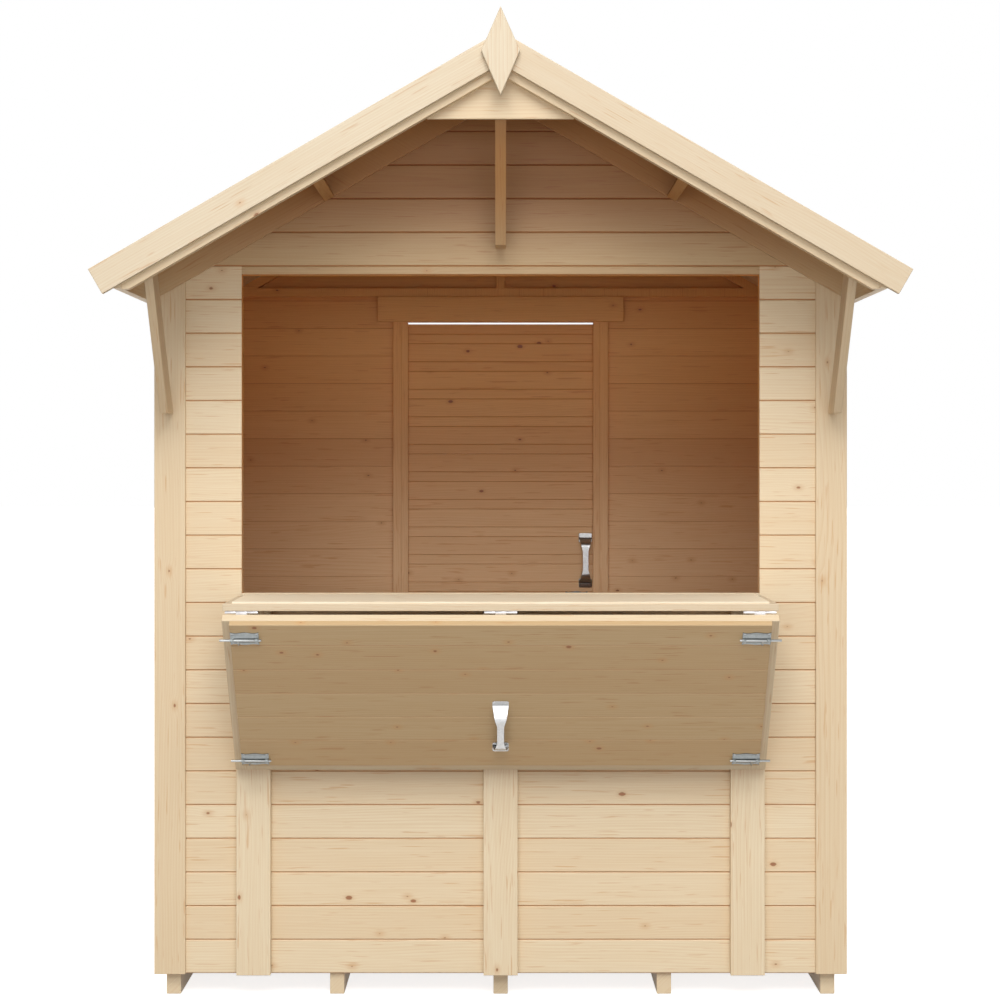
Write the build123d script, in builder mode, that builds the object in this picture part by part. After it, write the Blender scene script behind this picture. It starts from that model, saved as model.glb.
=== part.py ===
"""Wooden market stall: a six foot wide pine hut with a serving hatch, a canopy and a back door.

X runs to the right as a customer sees it, Y runs from the serving front to the door at the back,
and Z is up. The ground under the joists is Z = 0 and the plan's centre is the origin.
All sizes are in millimetres.
"""
from build123d import *
import math
import os

# Timber stock
board_t = 12.0
frame_t = 28.0
trim_t = 12.0
trim_w = 82.0
post_w = 90.0
post_t = 28.0
post_inset = 43.0
rafter_w = 75.0
rafter_t = 28.0
barge_w = 70.0
barge_t = 20.0
fascia_t = 22.0
brace_t = 22.0
brace_w = 78.0

# Walls and floor
wall_width = 1805.0
wall_depth = 1386.0
joist_w = 38.0
joist_h = 57.0
joist_pitch = 433.0
joist_count = 5
side_studs = 4

# Serving opening
opening_w = 1370.0
opening_sill = 1062.0
opening_head = 1904.6

# Roof
pitch_deg = 30.0
roof_rise = 565.4
barge_reach = 1014.6
canopy = 418.0
back_overhang = 60.0
felt_t = 2.0
felt_lap = 1.0
deck_inset = 6.0
eaves_setback = 79.6
rafter_foot_drop = 93.5775
fascia_lift = 2.0
purlin_run = 574.0
purlin_w = 28.0
gusset_h = 210.0
gusset_half = 182.0
gusset_t = 12.0
gusset_cover = 40.0

# Finial
finial_t = 18.0
finial_half = 48.0
finial_rise = 57.5
finial_shoulder = 51.5
finial_drop = 162.0

# Canopy braces
brace_x = 875.0
brace_h = 388.0
brace_over_head = 20.4
brace_lean_deg = 38.7
strut_w = 28.0
strut_h = 426.0
strut_drop = 70.0

# Back door
door_w = 600.0
door_side_gap = 7.0
door_head_drop = 45.6
door_top_gap = 6.5
door_foot_gap = 6.0
door_trim_w = 70.0
header_h = 81.0
header_half = 396.0
architrave_w = 70.0

# Serving counter and the flap that hangs from its front edge
leaf_lap = 9.0
leaf_rail = 60.0
counter_reach = 349.2
counter_top = 1061.0
counter_frame_t = 18.0
counter_proud = 5.0
counter_boards_t = 12.0
counter_boards_inset = 23.0
counter_boards_back = 4.0
leaf_back_gap = 6.0
sill_pin_out = 14.0
flap_len = 518.0
flap_frame_t = 24.0
flap_boards_t = 16.0
flap_boards_inset = 20.0
flap_boards_foot = 30.0
flap_gap = 3.5
flap_pin_drop = 3.5
flap_lean_deg = 37.3
leaf_face_gap = 5.0

# Hinges
knuckle_r = 3.3
pin_r = 1.6
pin_play = 0.05
hinge_len = 82.0
hinge_inset = 47.0
hinge_plate = 2.0
hinge_leaf = 32.0
knuckle_gap = 0.3

# Barrel bolts and pull handles
bolt_plate_w = 71.0
bolt_plate_h = 40.0
bolt_plate_t = 2.0
bolt_wave = 2.5
bolt_hump_foot = 13.0
bolt_hump_top = 4.5
bolt_bow_w = 9.0
bolt_rod_r = 3.0
bolt_play = 0.3
bolt_bow_t = 1.6
bolt_stand = 6.0
bolt_tip_past = 6.0
bolt_rod_len = 104.0
bolt_plate_inset = 56.0
bolt_upper_at = 44.0
bolt_lower_at = 462.0
bolt_knob_r = 2.6
bolt_knob_h = 15.0
bolt_knob_at = 15.0
door_bolt_z = 969.0
door_bolt_tip = 291.0
door_bolt_reach = 10.0
door_knob_at = -12.0
door_bolt_hole_r = 4.6
stop_w = 8.5
stop_gap = 6.0
pull_len = 176.0
pull_w = 42.0
pull_foot = 30.0
pull_foot_round = 5.0
pull_plate_t = 2.5
pull_stand = 36.0
pull_span = 150.0
pull_grip_w = 18.0
pull_grip_len = 60.0
pull_bow_t = 3.0
pull_bow_round = 20.0
door_pull_x = 274.0
door_pull_z = 1089.0
flap_pull_at = 345.0

# Tee hinges on the back of the door
tee_pin_r = 4.0
tee_knuckle_r = 7.0
tee_len = 260.0
tee_w = 34.0
tee_tip_w = 16.0
tee_t = 3.0
tee_low = 330.0
tee_high = 1630.0
tee_plate_h = 90.0

# Places worked out from the sizes above
pitch = math.radians(pitch_deg)
half_w = wall_width / 2
inner_half = half_w - board_t
bare_half = inner_half - frame_t
opening_half = opening_w / 2
leaf_half = opening_half + leaf_lap
post_x = leaf_half - post_inset
hinge_x = leaf_half - hinge_inset
counter_boards_half = leaf_half - counter_boards_inset
flap_boards_half = leaf_half - flap_boards_inset
bolt_tip = leaf_half + bolt_tip_past
bolt_plate_x = leaf_half - bolt_plate_inset
y_front = (canopy + finial_t - wall_depth - back_overhang) / 2
y_back = y_front + wall_depth
y_stud = y_front + board_t
y_room = y_stud + frame_t
y_back_clad = y_back - board_t
y_back_room = y_back_clad - frame_t
y_roof_front = y_front - canopy
y_roof_back = y_back + back_overhang
y_rafter_back = y_roof_front + rafter_t
deck_z = joist_h + board_t
plate_z = deck_z + frame_t
deck_top_d = felt_lap + felt_t
deck_low_d = deck_top_d + board_t
rafter_low_d = deck_low_d + rafter_w
slope_end = barge_reach / math.cos(pitch)
rafter_end = barge_reach - eaves_setback
ridge_top = opening_head + roof_rise
rafter_level = ridge_top - rafter_end * math.tan(pitch) - rafter_foot_drop
fascia_foot = rafter_level + fascia_lift
gusset_foot = ridge_top - gusset_h
finial_tip = ridge_top + finial_rise
finial_wide = ridge_top - finial_shoulder
finial_foot = ridge_top - finial_drop
brace_head = opening_head + brace_over_head
brace_foot = brace_head - brace_h
strut_head = ridge_top - strut_drop
strut_foot = strut_head - strut_h
door_head = opening_head - door_head_drop
tie_foot = door_head + header_h


def roof_z(x, depth):
    """Height of the line that lies depth below the barge boards' top edge, square to the slope."""
    return ridge_top - abs(x) * math.tan(pitch) - depth / math.cos(pitch)


def roof_point(side, run, depth):
    """Point on a slope: run down it from the ridge, depth square below the barges' top edge."""
    x = run * math.cos(pitch) - depth * math.sin(pitch)
    return (side * x, ridge_top - run * math.sin(pitch) - depth * math.cos(pitch))


def bar(x0, x1, y0, y1, z0, z1, mode=Mode.ADD):
    """A squared timber between two corners, added to the block in hand."""
    with Locations(((x0 + x1) / 2, (y0 + y1) / 2, (z0 + z1) / 2)):
        Box(abs(x1 - x0), abs(y1 - y0), abs(z1 - z0), mode=mode)


def front_slab(points, y0, y1, mode=Mode.ADD):
    """An outline in X and Z, cut through from y0 back to y1."""
    with BuildSketch(Plane.XZ.offset(-y1)) as outline:
        with BuildLine():
            Polyline(points, close=True)
        make_face()
    extrude(outline.sketch, amount=y1 - y0, mode=mode)


def side_slab(points, x0, x1, mode=Mode.ADD):
    """An outline in Y and Z, cut through from x0 across to x1."""
    with BuildSketch(Plane.YZ.offset(x0)) as outline:
        with BuildLine():
            Polyline(points, close=True)
        make_face()
    extrude(outline.sketch, amount=x1 - x0, mode=mode)


def rod_x(x0, x1, y, z, radius, mode=Mode.ADD):
    """A round bar along X."""
    with BuildSketch(Plane.YZ.offset(x0)) as section:
        with Locations((y, z)):
            Circle(radius)
    extrude(section.sketch, amount=x1 - x0, mode=mode)


def rod_z(z0, z1, x, y, radius, mode=Mode.ADD):
    """A round bar along Z."""
    with BuildSketch(Plane.XY.offset(z0)) as section:
        with Locations((x, y)):
            Circle(radius)
    extrude(section.sketch, amount=z1 - z0, mode=mode)


def slope_band(side, d0, d1, end_x):
    """Outline of a timber that follows one slope from the ridge to a plumb cut at end_x."""
    return [(0, roof_z(0, d0)), (side * end_x, roof_z(end_x, d0)),
            (side * end_x, roof_z(end_x, d1)), (0, roof_z(0, d1))]


def purlin_outline(side):
    """Section of the purlin, standing square to the slope under the roof boards."""
    up, down = purlin_run - purlin_w / 2, purlin_run + purlin_w / 2
    return [roof_point(side, up, deck_low_d), roof_point(side, down, deck_low_d),
            roof_point(side, down, rafter_low_d), roof_point(side, up, rafter_low_d)]


def cut_purlins(y0, y1):
    """Notches where the two purlins pass through."""
    for side in (-1, 1):
        front_slab(purlin_outline(side), y0, y1, mode=Mode.SUBTRACT)


def keep(piece, name):
    """Label one finished piece and write its STEP file."""
    piece.part.label = name
    export_step(piece.part, f"parts/{name}.step")


os.makedirs("parts", exist_ok=True)

# Floor joists, running front to back on the ground
with BuildPart() as floor_joists:
    for k in range(joist_count):
        x = (k - (joist_count - 1) / 2) * joist_pitch
        bar(x - joist_w / 2, x + joist_w / 2, y_stud, y_back_clad, 0, joist_h)
keep(floor_joists, "floor_joists")

# Floor boards on the joists, inside the cladding
with BuildPart() as floor_deck:
    bar(-inner_half, inner_half, y_stud, y_back_clad, joist_h, deck_z)
keep(floor_deck, "floor_deck")


def end_wall_piece(x0, x1, z0, z1, y0, y1):
    """Cladding of an end wall between two corners, cut to the roof and notched for the purlins."""
    with BuildPart() as piece:
        bar(x0, x1, y0, y1, z0, z1)
        eaves = roof_z(half_w, deck_low_d)
        front_slab([(-half_w, joist_h), (half_w, joist_h), (half_w, eaves),
                    (0, roof_z(0, deck_low_d)), (-half_w, eaves)], y0, y1, mode=Mode.INTERSECT)
        cut_purlins(y0, y1)
    return piece


# Front cladding: a pier each side of the hatch, the apron under it and the gable over it
for side, side_name in ((-1, "left"), (1, "right")):
    keep(end_wall_piece(side * opening_half, side * half_w, joist_h, opening_head, y_front, y_stud),
         f"front_wall_{side_name}")
keep(end_wall_piece(-opening_half, opening_half, joist_h, opening_sill - board_t, y_front, y_stud),
     "front_wall_below_counter")
keep(end_wall_piece(-half_w, half_w, opening_head, ridge_top, y_front, y_stud), "front_gable")

# Sill board across the bottom of the serving opening
with BuildPart() as serving_sill:
    bar(-opening_half, opening_half, y_front, y_room, opening_sill - board_t, opening_sill)
keep(serving_sill, "serving_sill")

# Back cladding: a piece each side of the doorway and the gable over it
door_half = door_w / 2
lining_half = door_half + door_side_gap
stud_half = lining_half + board_t
door_head_top = door_head + board_t
for side, side_name in ((-1, "left"), (1, "right")):
    keep(end_wall_piece(side * stud_half, side * half_w, joist_h, door_head_top, y_back_clad, y_back),
         f"back_wall_{side_name}")
keep(end_wall_piece(-half_w, half_w, door_head_top, ridge_top, y_back_clad, y_back), "back_gable")

# Side cladding, between the front and back boards, bevelled under the roof
for side, name in ((-1, "left_wall"), (1, "right_wall")):
    with BuildPart() as side_wall:
        front_slab([(side * inner_half, joist_h), (side * half_w, joist_h),
                    (side * half_w, roof_z(half_w, deck_low_d)),
                    (side * inner_half, roof_z(inner_half, deck_low_d))], y_stud, y_back_clad)
    keep(side_wall, name)


def gable_frame_members(y0, y1, tie_z, king_foot):
    """Corner studs, tie rail, king post and sloping top members of an end frame."""
    slope_low = deck_low_d + frame_t
    for side in (-1, 1):
        front_slab(slope_band(side, deck_low_d, slope_low, inner_half), y0, y1)
        front_slab([(side * bare_half, plate_z), (side * inner_half, plate_z),
                    (side * inner_half, roof_z(inner_half, slope_low)),
                    (side * bare_half, roof_z(bare_half, slope_low))], y0, y1)
    bar(-bare_half, bare_half, y0, y1, tie_z, tie_z + frame_t)
    front_slab([(-frame_t / 2, king_foot), (frame_t / 2, king_foot),
                (frame_t / 2, roof_z(frame_t / 2, slope_low)), (0, roof_z(0, slope_low)),
                (-frame_t / 2, roof_z(frame_t / 2, slope_low))], y0, y1)
    eaves = roof_z(inner_half, deck_low_d)
    front_slab([(-inner_half, deck_z), (inner_half, deck_z), (inner_half, eaves),
                (0, roof_z(0, deck_low_d)), (-inner_half, eaves)], y0, y1, mode=Mode.INTERSECT)


# Front frame, behind the front cladding
with BuildPart() as front_frame:
    gable_frame_members(y_stud, y_room, opening_head, opening_head + frame_t)
    bar(-inner_half, inner_half, y_stud, y_room, deck_z, plate_z)
    sill_foot = opening_sill - board_t
    bar(-opening_half, opening_half, y_stud, y_room, sill_foot - frame_t, sill_foot)
    bar(-frame_t / 2, frame_t / 2, y_stud, y_room, plate_z, sill_foot - frame_t)
    for side in (-1, 1):
        stud = side * (opening_half + frame_t)
        bar(side * opening_half, stud, y_stud, y_room, plate_z, opening_head)
    cut_purlins(y_stud, y_room)
keep(front_frame, "front_frame")

# Back frame, inside the back cladding, with the studs that carry the door lining
with BuildPart() as back_frame:
    gable_frame_members(y_back_room, y_back_clad, tie_foot, tie_foot + frame_t)
    for side in (-1, 1):
        bar(side * stud_half, side * inner_half, y_back_room, y_back_clad, deck_z, plate_z)
        bar(side * stud_half, side * (stud_half + frame_t), y_back_room, y_back_clad,
            plate_z, tie_foot)
    cut_purlins(y_back_room, y_back_clad)
keep(back_frame, "back_frame")

# Side frames: studs between a bottom and a top rail, with one rail half way up
rail_low = roof_z(inner_half, deck_low_d) - 2 * frame_t
rail_mid = (plate_z + rail_low) / 2
stud_pitch = (y_back_room - y_room - frame_t) / (side_studs - 1)
for side, name in ((-1, "side_frame_left"), (1, "side_frame_right")):
    with BuildPart() as side_frame:
        for foot in (deck_z, rail_mid, rail_low):
            bar(side * bare_half, side * inner_half, y_room, y_back_room, foot, foot + frame_t)
        for k in range(side_studs):
            y = y_room + k * stud_pitch
            bar(side * bare_half, side * inner_half, y, y + frame_t, plate_z, rail_low)
    keep(side_frame, name)

# Corner boards: each covers an end face and returns along the side wall
with BuildPart() as corner_trims:
    face_x = half_w - trim_w + trim_t
    for y_face, out in ((y_front, -1), (y_back, 1)):
        y_out = y_face + out * trim_t
        y_in = y_face - out * (trim_w - trim_t)
        for side in (-1, 1):
            front_slab([(side * face_x, joist_h), (side * half_w, joist_h),
                        (side * half_w, roof_z(half_w, rafter_low_d)),
                        (side * face_x, roof_z(face_x, rafter_low_d))],
                       min(y_face, y_out), max(y_face, y_out))
            front_slab([(side * half_w, joist_h), (side * (half_w + trim_t), joist_h),
                        (side * (half_w + trim_t), roof_z(half_w + trim_t, rafter_low_d)),
                        (side * half_w, roof_z(half_w, rafter_low_d))],
                       min(y_in, y_out), max(y_in, y_out))
keep(corner_trims, "corner_trims")

# Boards that follow the slopes on both gables, level with the rafters' lower edge
with BuildPart() as rake_trims:
    for y0 in (y_front - trim_t, y_back):
        for side in (-1, 1):
            front_slab(slope_band(side, deck_low_d, rafter_low_d, half_w + trim_t),
                       y0, y0 + trim_t)
        cut_purlins(y0, y0 + trim_t)
keep(rake_trims, "rake_trims")

# Three wide strips on the apron, standing under the counter
counter_low = counter_top - counter_frame_t - counter_proud
with BuildPart() as counter_posts:
    for centre in (-post_x, 0, post_x):
        bar(centre - post_w / 2, centre + post_w / 2, y_front - post_t, y_front,
            joist_h, counter_low - leaf_face_gap)
keep(counter_posts, "counter_posts")

# Roof boards and felt
for side, name in ((-1, "roof_left"), (1, "roof_right")):
    with BuildPart() as roof_half:
        end = slope_end - deck_inset
        front_slab([(0, roof_z(0, deck_top_d)), roof_point(side, end, deck_top_d),
                    roof_point(side, end, deck_low_d), (0, roof_z(0, deck_low_d))],
                   y_roof_front, y_roof_back)
    keep(roof_half, name)
with BuildPart() as roof_felt:
    for side in (-1, 1):
        end = slope_end - deck_inset
        front_slab([(0, roof_z(0, felt_lap)), roof_point(side, end, felt_lap),
                    roof_point(side, end, deck_top_d), (0, roof_z(0, deck_top_d))],
                   y_roof_front, y_roof_back)
keep(roof_felt, "roof_felt")

# Purlins, from the front rafters back to the rear barge boards
with BuildPart() as purlins:
    for side in (-1, 1):
        front_slab(purlin_outline(side), y_rafter_back, y_roof_back)
keep(purlins, "purlins")

# Front rafters under the canopy, with a plumb and a level cut at the eaves
level_x = (roof_z(0, rafter_low_d) - rafter_level) / math.tan(pitch)
for side, name in ((-1, "front_rafter_left"), (1, "front_rafter_right")):
    with BuildPart() as rafter:
        front_slab([(0, roof_z(0, deck_low_d)),
                    (side * rafter_end, roof_z(rafter_end, deck_low_d)),
                    (side * rafter_end, rafter_level), (side * level_x, rafter_level),
                    (0, roof_z(0, rafter_low_d))], y_roof_front, y_rafter_back)
    keep(rafter, name)

# Plate behind the rafters at the peak
with BuildPart() as apex_gusset:
    shoulder = roof_z(gusset_half, gusset_cover)
    front_slab([(-gusset_half, gusset_foot), (gusset_half, gusset_foot), (gusset_half, shoulder),
                (0, roof_z(0, gusset_cover)), (-gusset_half, shoulder)],
               y_rafter_back, y_rafter_back + gusset_t)
keep(apex_gusset, "apex_gusset")

# Barge boards, cut square at the eaves and mitred at the peak
for end_name, y0 in (("front", y_roof_front - barge_t), ("back", y_roof_back)):
    for side, side_name in ((-1, "left"), (1, "right")):
        with BuildPart() as barge:
            front_slab([(0, roof_z(0, 0)), roof_point(side, slope_end, 0),
                        roof_point(side, slope_end, barge_w), (0, roof_z(0, barge_w))],
                       y0, y0 + barge_t)
        keep(barge, f"barge_{end_name}_{side_name}")

# Eaves fascias
with BuildPart() as fascias:
    for side in (-1, 1):
        outer = rafter_end + fascia_t
        front_slab([(side * rafter_end, fascia_foot), (side * outer, fascia_foot),
                    (side * outer, roof_z(outer, deck_low_d)),
                    (side * rafter_end, roof_z(rafter_end, deck_low_d))],
                   y_roof_front, y_roof_back)
keep(fascias, "fascias")

# Finial: a long diamond on the barge boards' joint
with BuildPart() as finial:
    front_slab([(0, finial_tip), (finial_half, finial_wide), (0, finial_foot),
                (-finial_half, finial_wide)], y_roof_front - barge_t - finial_t,
               y_roof_front - barge_t)
keep(finial, "finial")

# Canopy braces beside the hatch, and the narrow strut at the middle of the gable
lean = math.tan(math.radians(brace_lean_deg))
brace_span = brace_w / math.cos(math.radians(brace_lean_deg))
with BuildPart() as braces:
    wall = y_front - trim_t
    front = wall - brace_span
    for side in (-1, 1):
        side_slab([(wall, brace_foot), (front, brace_foot),
                   (y_rafter_back, brace_foot + (front - y_rafter_back) / lean),
                   (y_rafter_back, brace_head), (wall - (brace_head - brace_foot) * lean,
                                                 brace_head)],
                  side * brace_x - brace_t / 2, side * brace_x + brace_t / 2)
keep(braces, "braces")
with BuildPart() as gable_strut:
    front = y_front - brace_span
    back_face = y_rafter_back + gusset_t
    side_slab([(y_front, strut_foot), (front, strut_foot),
               (back_face, strut_foot + (front - back_face) / lean), (back_face, strut_head),
               (y_front - (strut_head - strut_foot) * lean, strut_head)],
              -strut_w / 2, strut_w / 2)
keep(gable_strut, "gable_strut")

# Door lining, threshold and the board over the doorway
bolt_y = y_back_clad - bolt_plate_t - bolt_stand
with BuildPart() as door_lining:
    for side in (-1, 1):
        bar(side * lining_half, side * stud_half, y_back_room, y_back, plate_z, door_head_top)
        bar(side * (lining_half - stop_w), side * lining_half, y_back_room, y_back_clad - stop_gap,
            plate_z, door_head)
    bar(-lining_half, lining_half, y_back_room, y_back, door_head, door_head_top)
    bar(-stud_half, stud_half, y_back_room, y_back_clad, deck_z, plate_z)
    bar(-stud_half, stud_half, y_back_clad, y_back, joist_h, plate_z)
    rod_x(lining_half - stop_w, stud_half, bolt_y, door_bolt_z, door_bolt_hole_r,
          mode=Mode.SUBTRACT)
keep(door_lining, "door_lining")
with BuildPart() as door_header:
    bar(-header_half, header_half, y_back_room - board_t, y_back_room,
        tie_foot - header_h, tie_foot)
keep(door_header, "door_header")
with BuildPart() as door_architrave:
    top = door_head + architrave_w
    for side in (-1, 1):
        bar(side * lining_half, side * (lining_half + architrave_w), y_back, y_back + trim_t,
            joist_h, top)
    bar(-lining_half, lining_half, y_back, y_back + trim_t, door_head, top)
keep(door_architrave, "door_architrave")

# Door leaf: boards inside, a framed face of trims outside
door_low = plate_z + door_foot_gap
door_high = door_head - door_top_gap
door_face = y_back + trim_t
with BuildPart() as door_boards:
    bar(-door_half, door_half, y_back_clad, y_back, door_low, door_high)
keep(door_boards, "door_boards")
with BuildPart() as door_trims:
    for side in (-1, 1):
        bar(side * door_half, side * (door_half - door_trim_w), y_back, door_face,
            door_low, door_high)
    clear = door_half - door_trim_w
    middle = (door_low + door_high) / 2
    for foot in (door_low, middle - door_trim_w / 2, door_high - door_trim_w):
        bar(-clear, clear, y_back, door_face, foot, foot + door_trim_w)
keep(door_trims, "door_trims")

# Tee hinges on the back of the door. The strap and its knuckle turn on a pin that the
# short plate on the architrave carries.
tee_x = -(door_half + door_side_gap / 2)
tee_y = door_face + tee_knuckle_r
with BuildPart() as tee_straps:
    for z in (tee_low, tee_high):
        with BuildSketch(Plane.XZ.offset(-(door_face + tee_t))):
            with BuildLine():
                Polyline([(-door_half, z - tee_w / 2), (-door_half + tee_len, z - tee_tip_w / 2),
                          (-door_half + tee_len, z + tee_tip_w / 2), (-door_half, z + tee_w / 2)],
                         close=True)
            make_face()
        extrude(amount=tee_t)
        bar(tee_x, -door_half, door_face, door_face + tee_t, z - tee_w / 2, z + tee_w / 2)
        rod_z(z - tee_w / 2, z + tee_w / 2, tee_x, tee_y, tee_knuckle_r)
        rod_z(z - tee_w / 2, z + tee_w / 2, tee_x, tee_y, tee_pin_r + pin_play,
              mode=Mode.SUBTRACT)
keep(tee_straps, "door_hinge_straps")
with BuildPart() as tee_plates:
    for z in (tee_low, tee_high):
        bar(tee_x - tee_w, tee_x - tee_knuckle_r - knuckle_gap, door_face, door_face + tee_t,
            z - tee_plate_h / 2, z + tee_plate_h / 2)
        rod_z(z - tee_plate_h / 2, z + tee_plate_h / 2, tee_x, tee_y, tee_pin_r)
        for low, high in ((-tee_plate_h / 2, -tee_w / 2 - knuckle_gap),
                          (tee_w / 2 + knuckle_gap, tee_plate_h / 2)):
            rod_z(z + low, z + high, tee_x, tee_y, tee_knuckle_r)
            bar(tee_x - tee_knuckle_r - knuckle_gap, tee_x, door_face, door_face + tee_t,
                z + low, z + high)
keep(tee_plates, "door_hinge_plates")


def pull_handle(plane):
    """A pressed steel pull along the plane's X: two end plates and a bow between them, which is
    as wide as the plates at its feet and narrows to the grip."""
    half = pull_span / 2
    side_on = Plane(origin=plane.origin + plane.y_dir * (pull_w / 2), x_dir=plane.x_dir,
                    z_dir=-plane.y_dir)
    with BuildPart() as handle:
        with BuildSketch(side_on) as bow:
            with BuildLine():
                FilletPolyline((-half, 0), (-half + pull_bow_round, pull_stand),
                               (half - pull_bow_round, pull_stand), (half, 0),
                               radius=pull_bow_round)
                offset(amount=-pull_bow_t, side=Side.RIGHT)
            make_face()
        extrude(bow.sketch, amount=pull_w)
        with BuildSketch(plane) as outline:
            with BuildLine():
                Polyline((-half, -pull_w / 2), (-pull_grip_len / 2, -pull_grip_w / 2),
                         (pull_grip_len / 2, -pull_grip_w / 2), (half, -pull_w / 2),
                         (half, pull_w / 2), (pull_grip_len / 2, pull_grip_w / 2),
                         (-pull_grip_len / 2, pull_grip_w / 2), (-half, pull_w / 2), close=True)
            make_face()
        extrude(outline.sketch, amount=pull_stand, mode=Mode.INTERSECT)
        for end in (-1, 1):
            with BuildSketch(plane) as foot:
                with Locations((end * (pull_len - pull_foot) / 2, 0)):
                    RectangleRounded(pull_foot, pull_w, pull_foot_round)
            extrude(foot.sketch, amount=pull_plate_t)
    return handle


def bolt_plate(plane):
    """Barrel bolt's base, added to the block in hand: a plate with waved long edges, a hump along
    it that the rod lies on, and a bow over the rod at each end."""
    half_l, half_h = bolt_plate_w / 2, bolt_plate_h / 2
    with BuildSketch(plane) as base:
        with BuildLine():
            for way in (-1, 1):
                Spline((-half_l, way * half_h), (-half_l / 2, way * (half_h - bolt_wave)),
                       (0, way * half_h), (half_l / 2, way * (half_h - bolt_wave)),
                       (half_l, way * half_h))
                Line((way * half_l, -half_h), (way * half_l, half_h))
        make_face()
    extrude(base.sketch, amount=bolt_plate_t)
    axis = bolt_plate_t + bolt_stand
    bed = axis - bolt_rod_r - bolt_play
    bow = bolt_rod_r + bolt_play + bolt_bow_t
    end_on = Plane(origin=plane.origin - plane.x_dir * half_l, x_dir=plane.y_dir,
                   z_dir=plane.x_dir)
    with BuildSketch(end_on) as hump:
        with BuildLine():
            Polyline((-bolt_hump_foot, bolt_plate_t), (-bolt_hump_top, bed), (bolt_hump_top, bed),
                     (bolt_hump_foot, bolt_plate_t), close=True)
        make_face()
    extrude(hump.sketch, amount=bolt_plate_w)
    for start in (0, bolt_plate_w - bolt_bow_w):
        with BuildSketch(end_on.offset(start)) as section:
            with Locations((0, axis)):
                Circle(bow)
            with Locations((0, (axis + bolt_plate_t) / 2)):
                Rectangle(2 * bow, bolt_stand)
        extrude(section.sketch, amount=bolt_bow_w)
    with BuildSketch(end_on) as hole:
        with Locations((0, axis)):
            Circle(bolt_rod_r + bolt_play)
    extrude(hole.sketch, amount=bolt_plate_w, mode=Mode.SUBTRACT)


def bolt_rod(plane, tip, out, knob_at):
    """Barrel bolt's rod and knob. The tip and the knob are placed along local X from the plate's
    middle, and out is the side to which the rod shoots."""
    axis = bolt_plate_t + bolt_stand
    start = Plane(origin=plane.origin + plane.z_dir * axis + plane.x_dir * tip,
                  x_dir=plane.y_dir, z_dir=plane.x_dir)
    knob = Plane(origin=plane.origin + plane.z_dir * axis + plane.x_dir * knob_at,
                 x_dir=plane.x_dir, z_dir=-plane.y_dir)
    with BuildPart() as rod:
        with BuildSketch(start):
            Circle(bolt_rod_r)
        extrude(amount=-out * bolt_rod_len)
        with BuildSketch(knob):
            Circle(bolt_knob_r)
        extrude(amount=bolt_knob_h)
    return rod


# Door furniture on the inside: pull handle and barrel bolt
inside = Plane(origin=(door_pull_x, y_back_clad, door_pull_z), x_dir=(0, 0, 1),
               z_dir=(0, -1, 0))
keep(pull_handle(inside), "door_pull_handle")
door_bolt_x = door_bolt_tip - bolt_plate_w / 2 - door_bolt_reach
inside = Plane(origin=(door_bolt_x, y_back_clad, door_bolt_z), x_dir=(1, 0, 0),
               z_dir=(0, -1, 0))
with BuildPart() as door_bolt_plate:
    bolt_plate(inside)
keep(door_bolt_plate, "door_bolt_plate")
keep(bolt_rod(inside, door_bolt_tip - door_bolt_x, 1, door_knob_at), "door_bolt_rod")

# Counter leaf, open and level: a frame of rails with boards let into its upper face
counter_front = y_front - counter_reach
counter_back = y_front - sill_pin_out - leaf_back_gap
boards_low = counter_top - counter_boards_t
with BuildPart() as counter_frame:
    frame_top = counter_top - counter_proud
    bar(-leaf_half, leaf_half, counter_front, counter_back, counter_low, frame_top)
    bar(-leaf_half + leaf_rail, leaf_half - leaf_rail, counter_front + leaf_rail,
        counter_back - leaf_rail, counter_low, frame_top, mode=Mode.SUBTRACT)
    bar(-counter_boards_half, counter_boards_half, counter_front + counter_boards_back,
        counter_back, boards_low, frame_top, mode=Mode.SUBTRACT)
keep(counter_frame, "counter_frame")
with BuildPart() as counter_boards:
    bar(-counter_boards_half, counter_boards_half, counter_front + counter_boards_back,
        counter_back, boards_low, counter_top)
keep(counter_boards, "counter_boards")

# The flap's own frame of reference at rest: local X to the right, local Y up its inner face
# from the bottom edge to the hinge, local Z out of the inner face. Its outer face is local
# Z = 0 and the pin lies flap_pin_drop outside that face.
flap_lean = math.radians(flap_lean_deg)
flap_up = Vector(0, -math.sin(flap_lean), math.cos(flap_lean))
flap_out = Vector(0, -math.cos(flap_lean), -math.sin(flap_lean))
flap_pin = Vector(0, counter_front, counter_low - flap_pin_drop)
flap_origin = flap_pin + flap_out * flap_pin_drop - flap_up * (flap_gap + flap_len)


def flap_plane(height, x=0.0):
    """Plane parallel to the flap at a height above its outer face."""
    return Plane(origin=flap_origin + flap_out * height + Vector(x, 0, 0), x_dir=(1, 0, 0),
                 z_dir=flap_out)


def flap_slab(x0, x1, v0, v1, h0, h1, mode=Mode.ADD):
    """A rectangle on the flap: v runs up it from the bottom edge, h out of its outer face."""
    with BuildSketch(flap_plane(h0)) as face:
        with Locations(((x0 + x1) / 2, (v0 + v1) / 2)):
            Rectangle(x1 - x0, v1 - v0)
    extrude(face.sketch, amount=h1 - h0, mode=mode)


with BuildPart() as flap_frame:
    flap_slab(-leaf_half, leaf_half, 0, flap_len, 0, flap_frame_t)
    flap_slab(-leaf_half + leaf_rail, leaf_half - leaf_rail, leaf_rail, flap_len - leaf_rail,
              0, flap_frame_t, mode=Mode.SUBTRACT)
keep(flap_frame, "flap_frame")
with BuildPart() as flap_boards:
    flap_slab(-flap_boards_half, flap_boards_half, flap_boards_foot, flap_len, flap_frame_t,
              flap_frame_t + flap_boards_t)
keep(flap_boards, "flap_boards")

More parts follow.
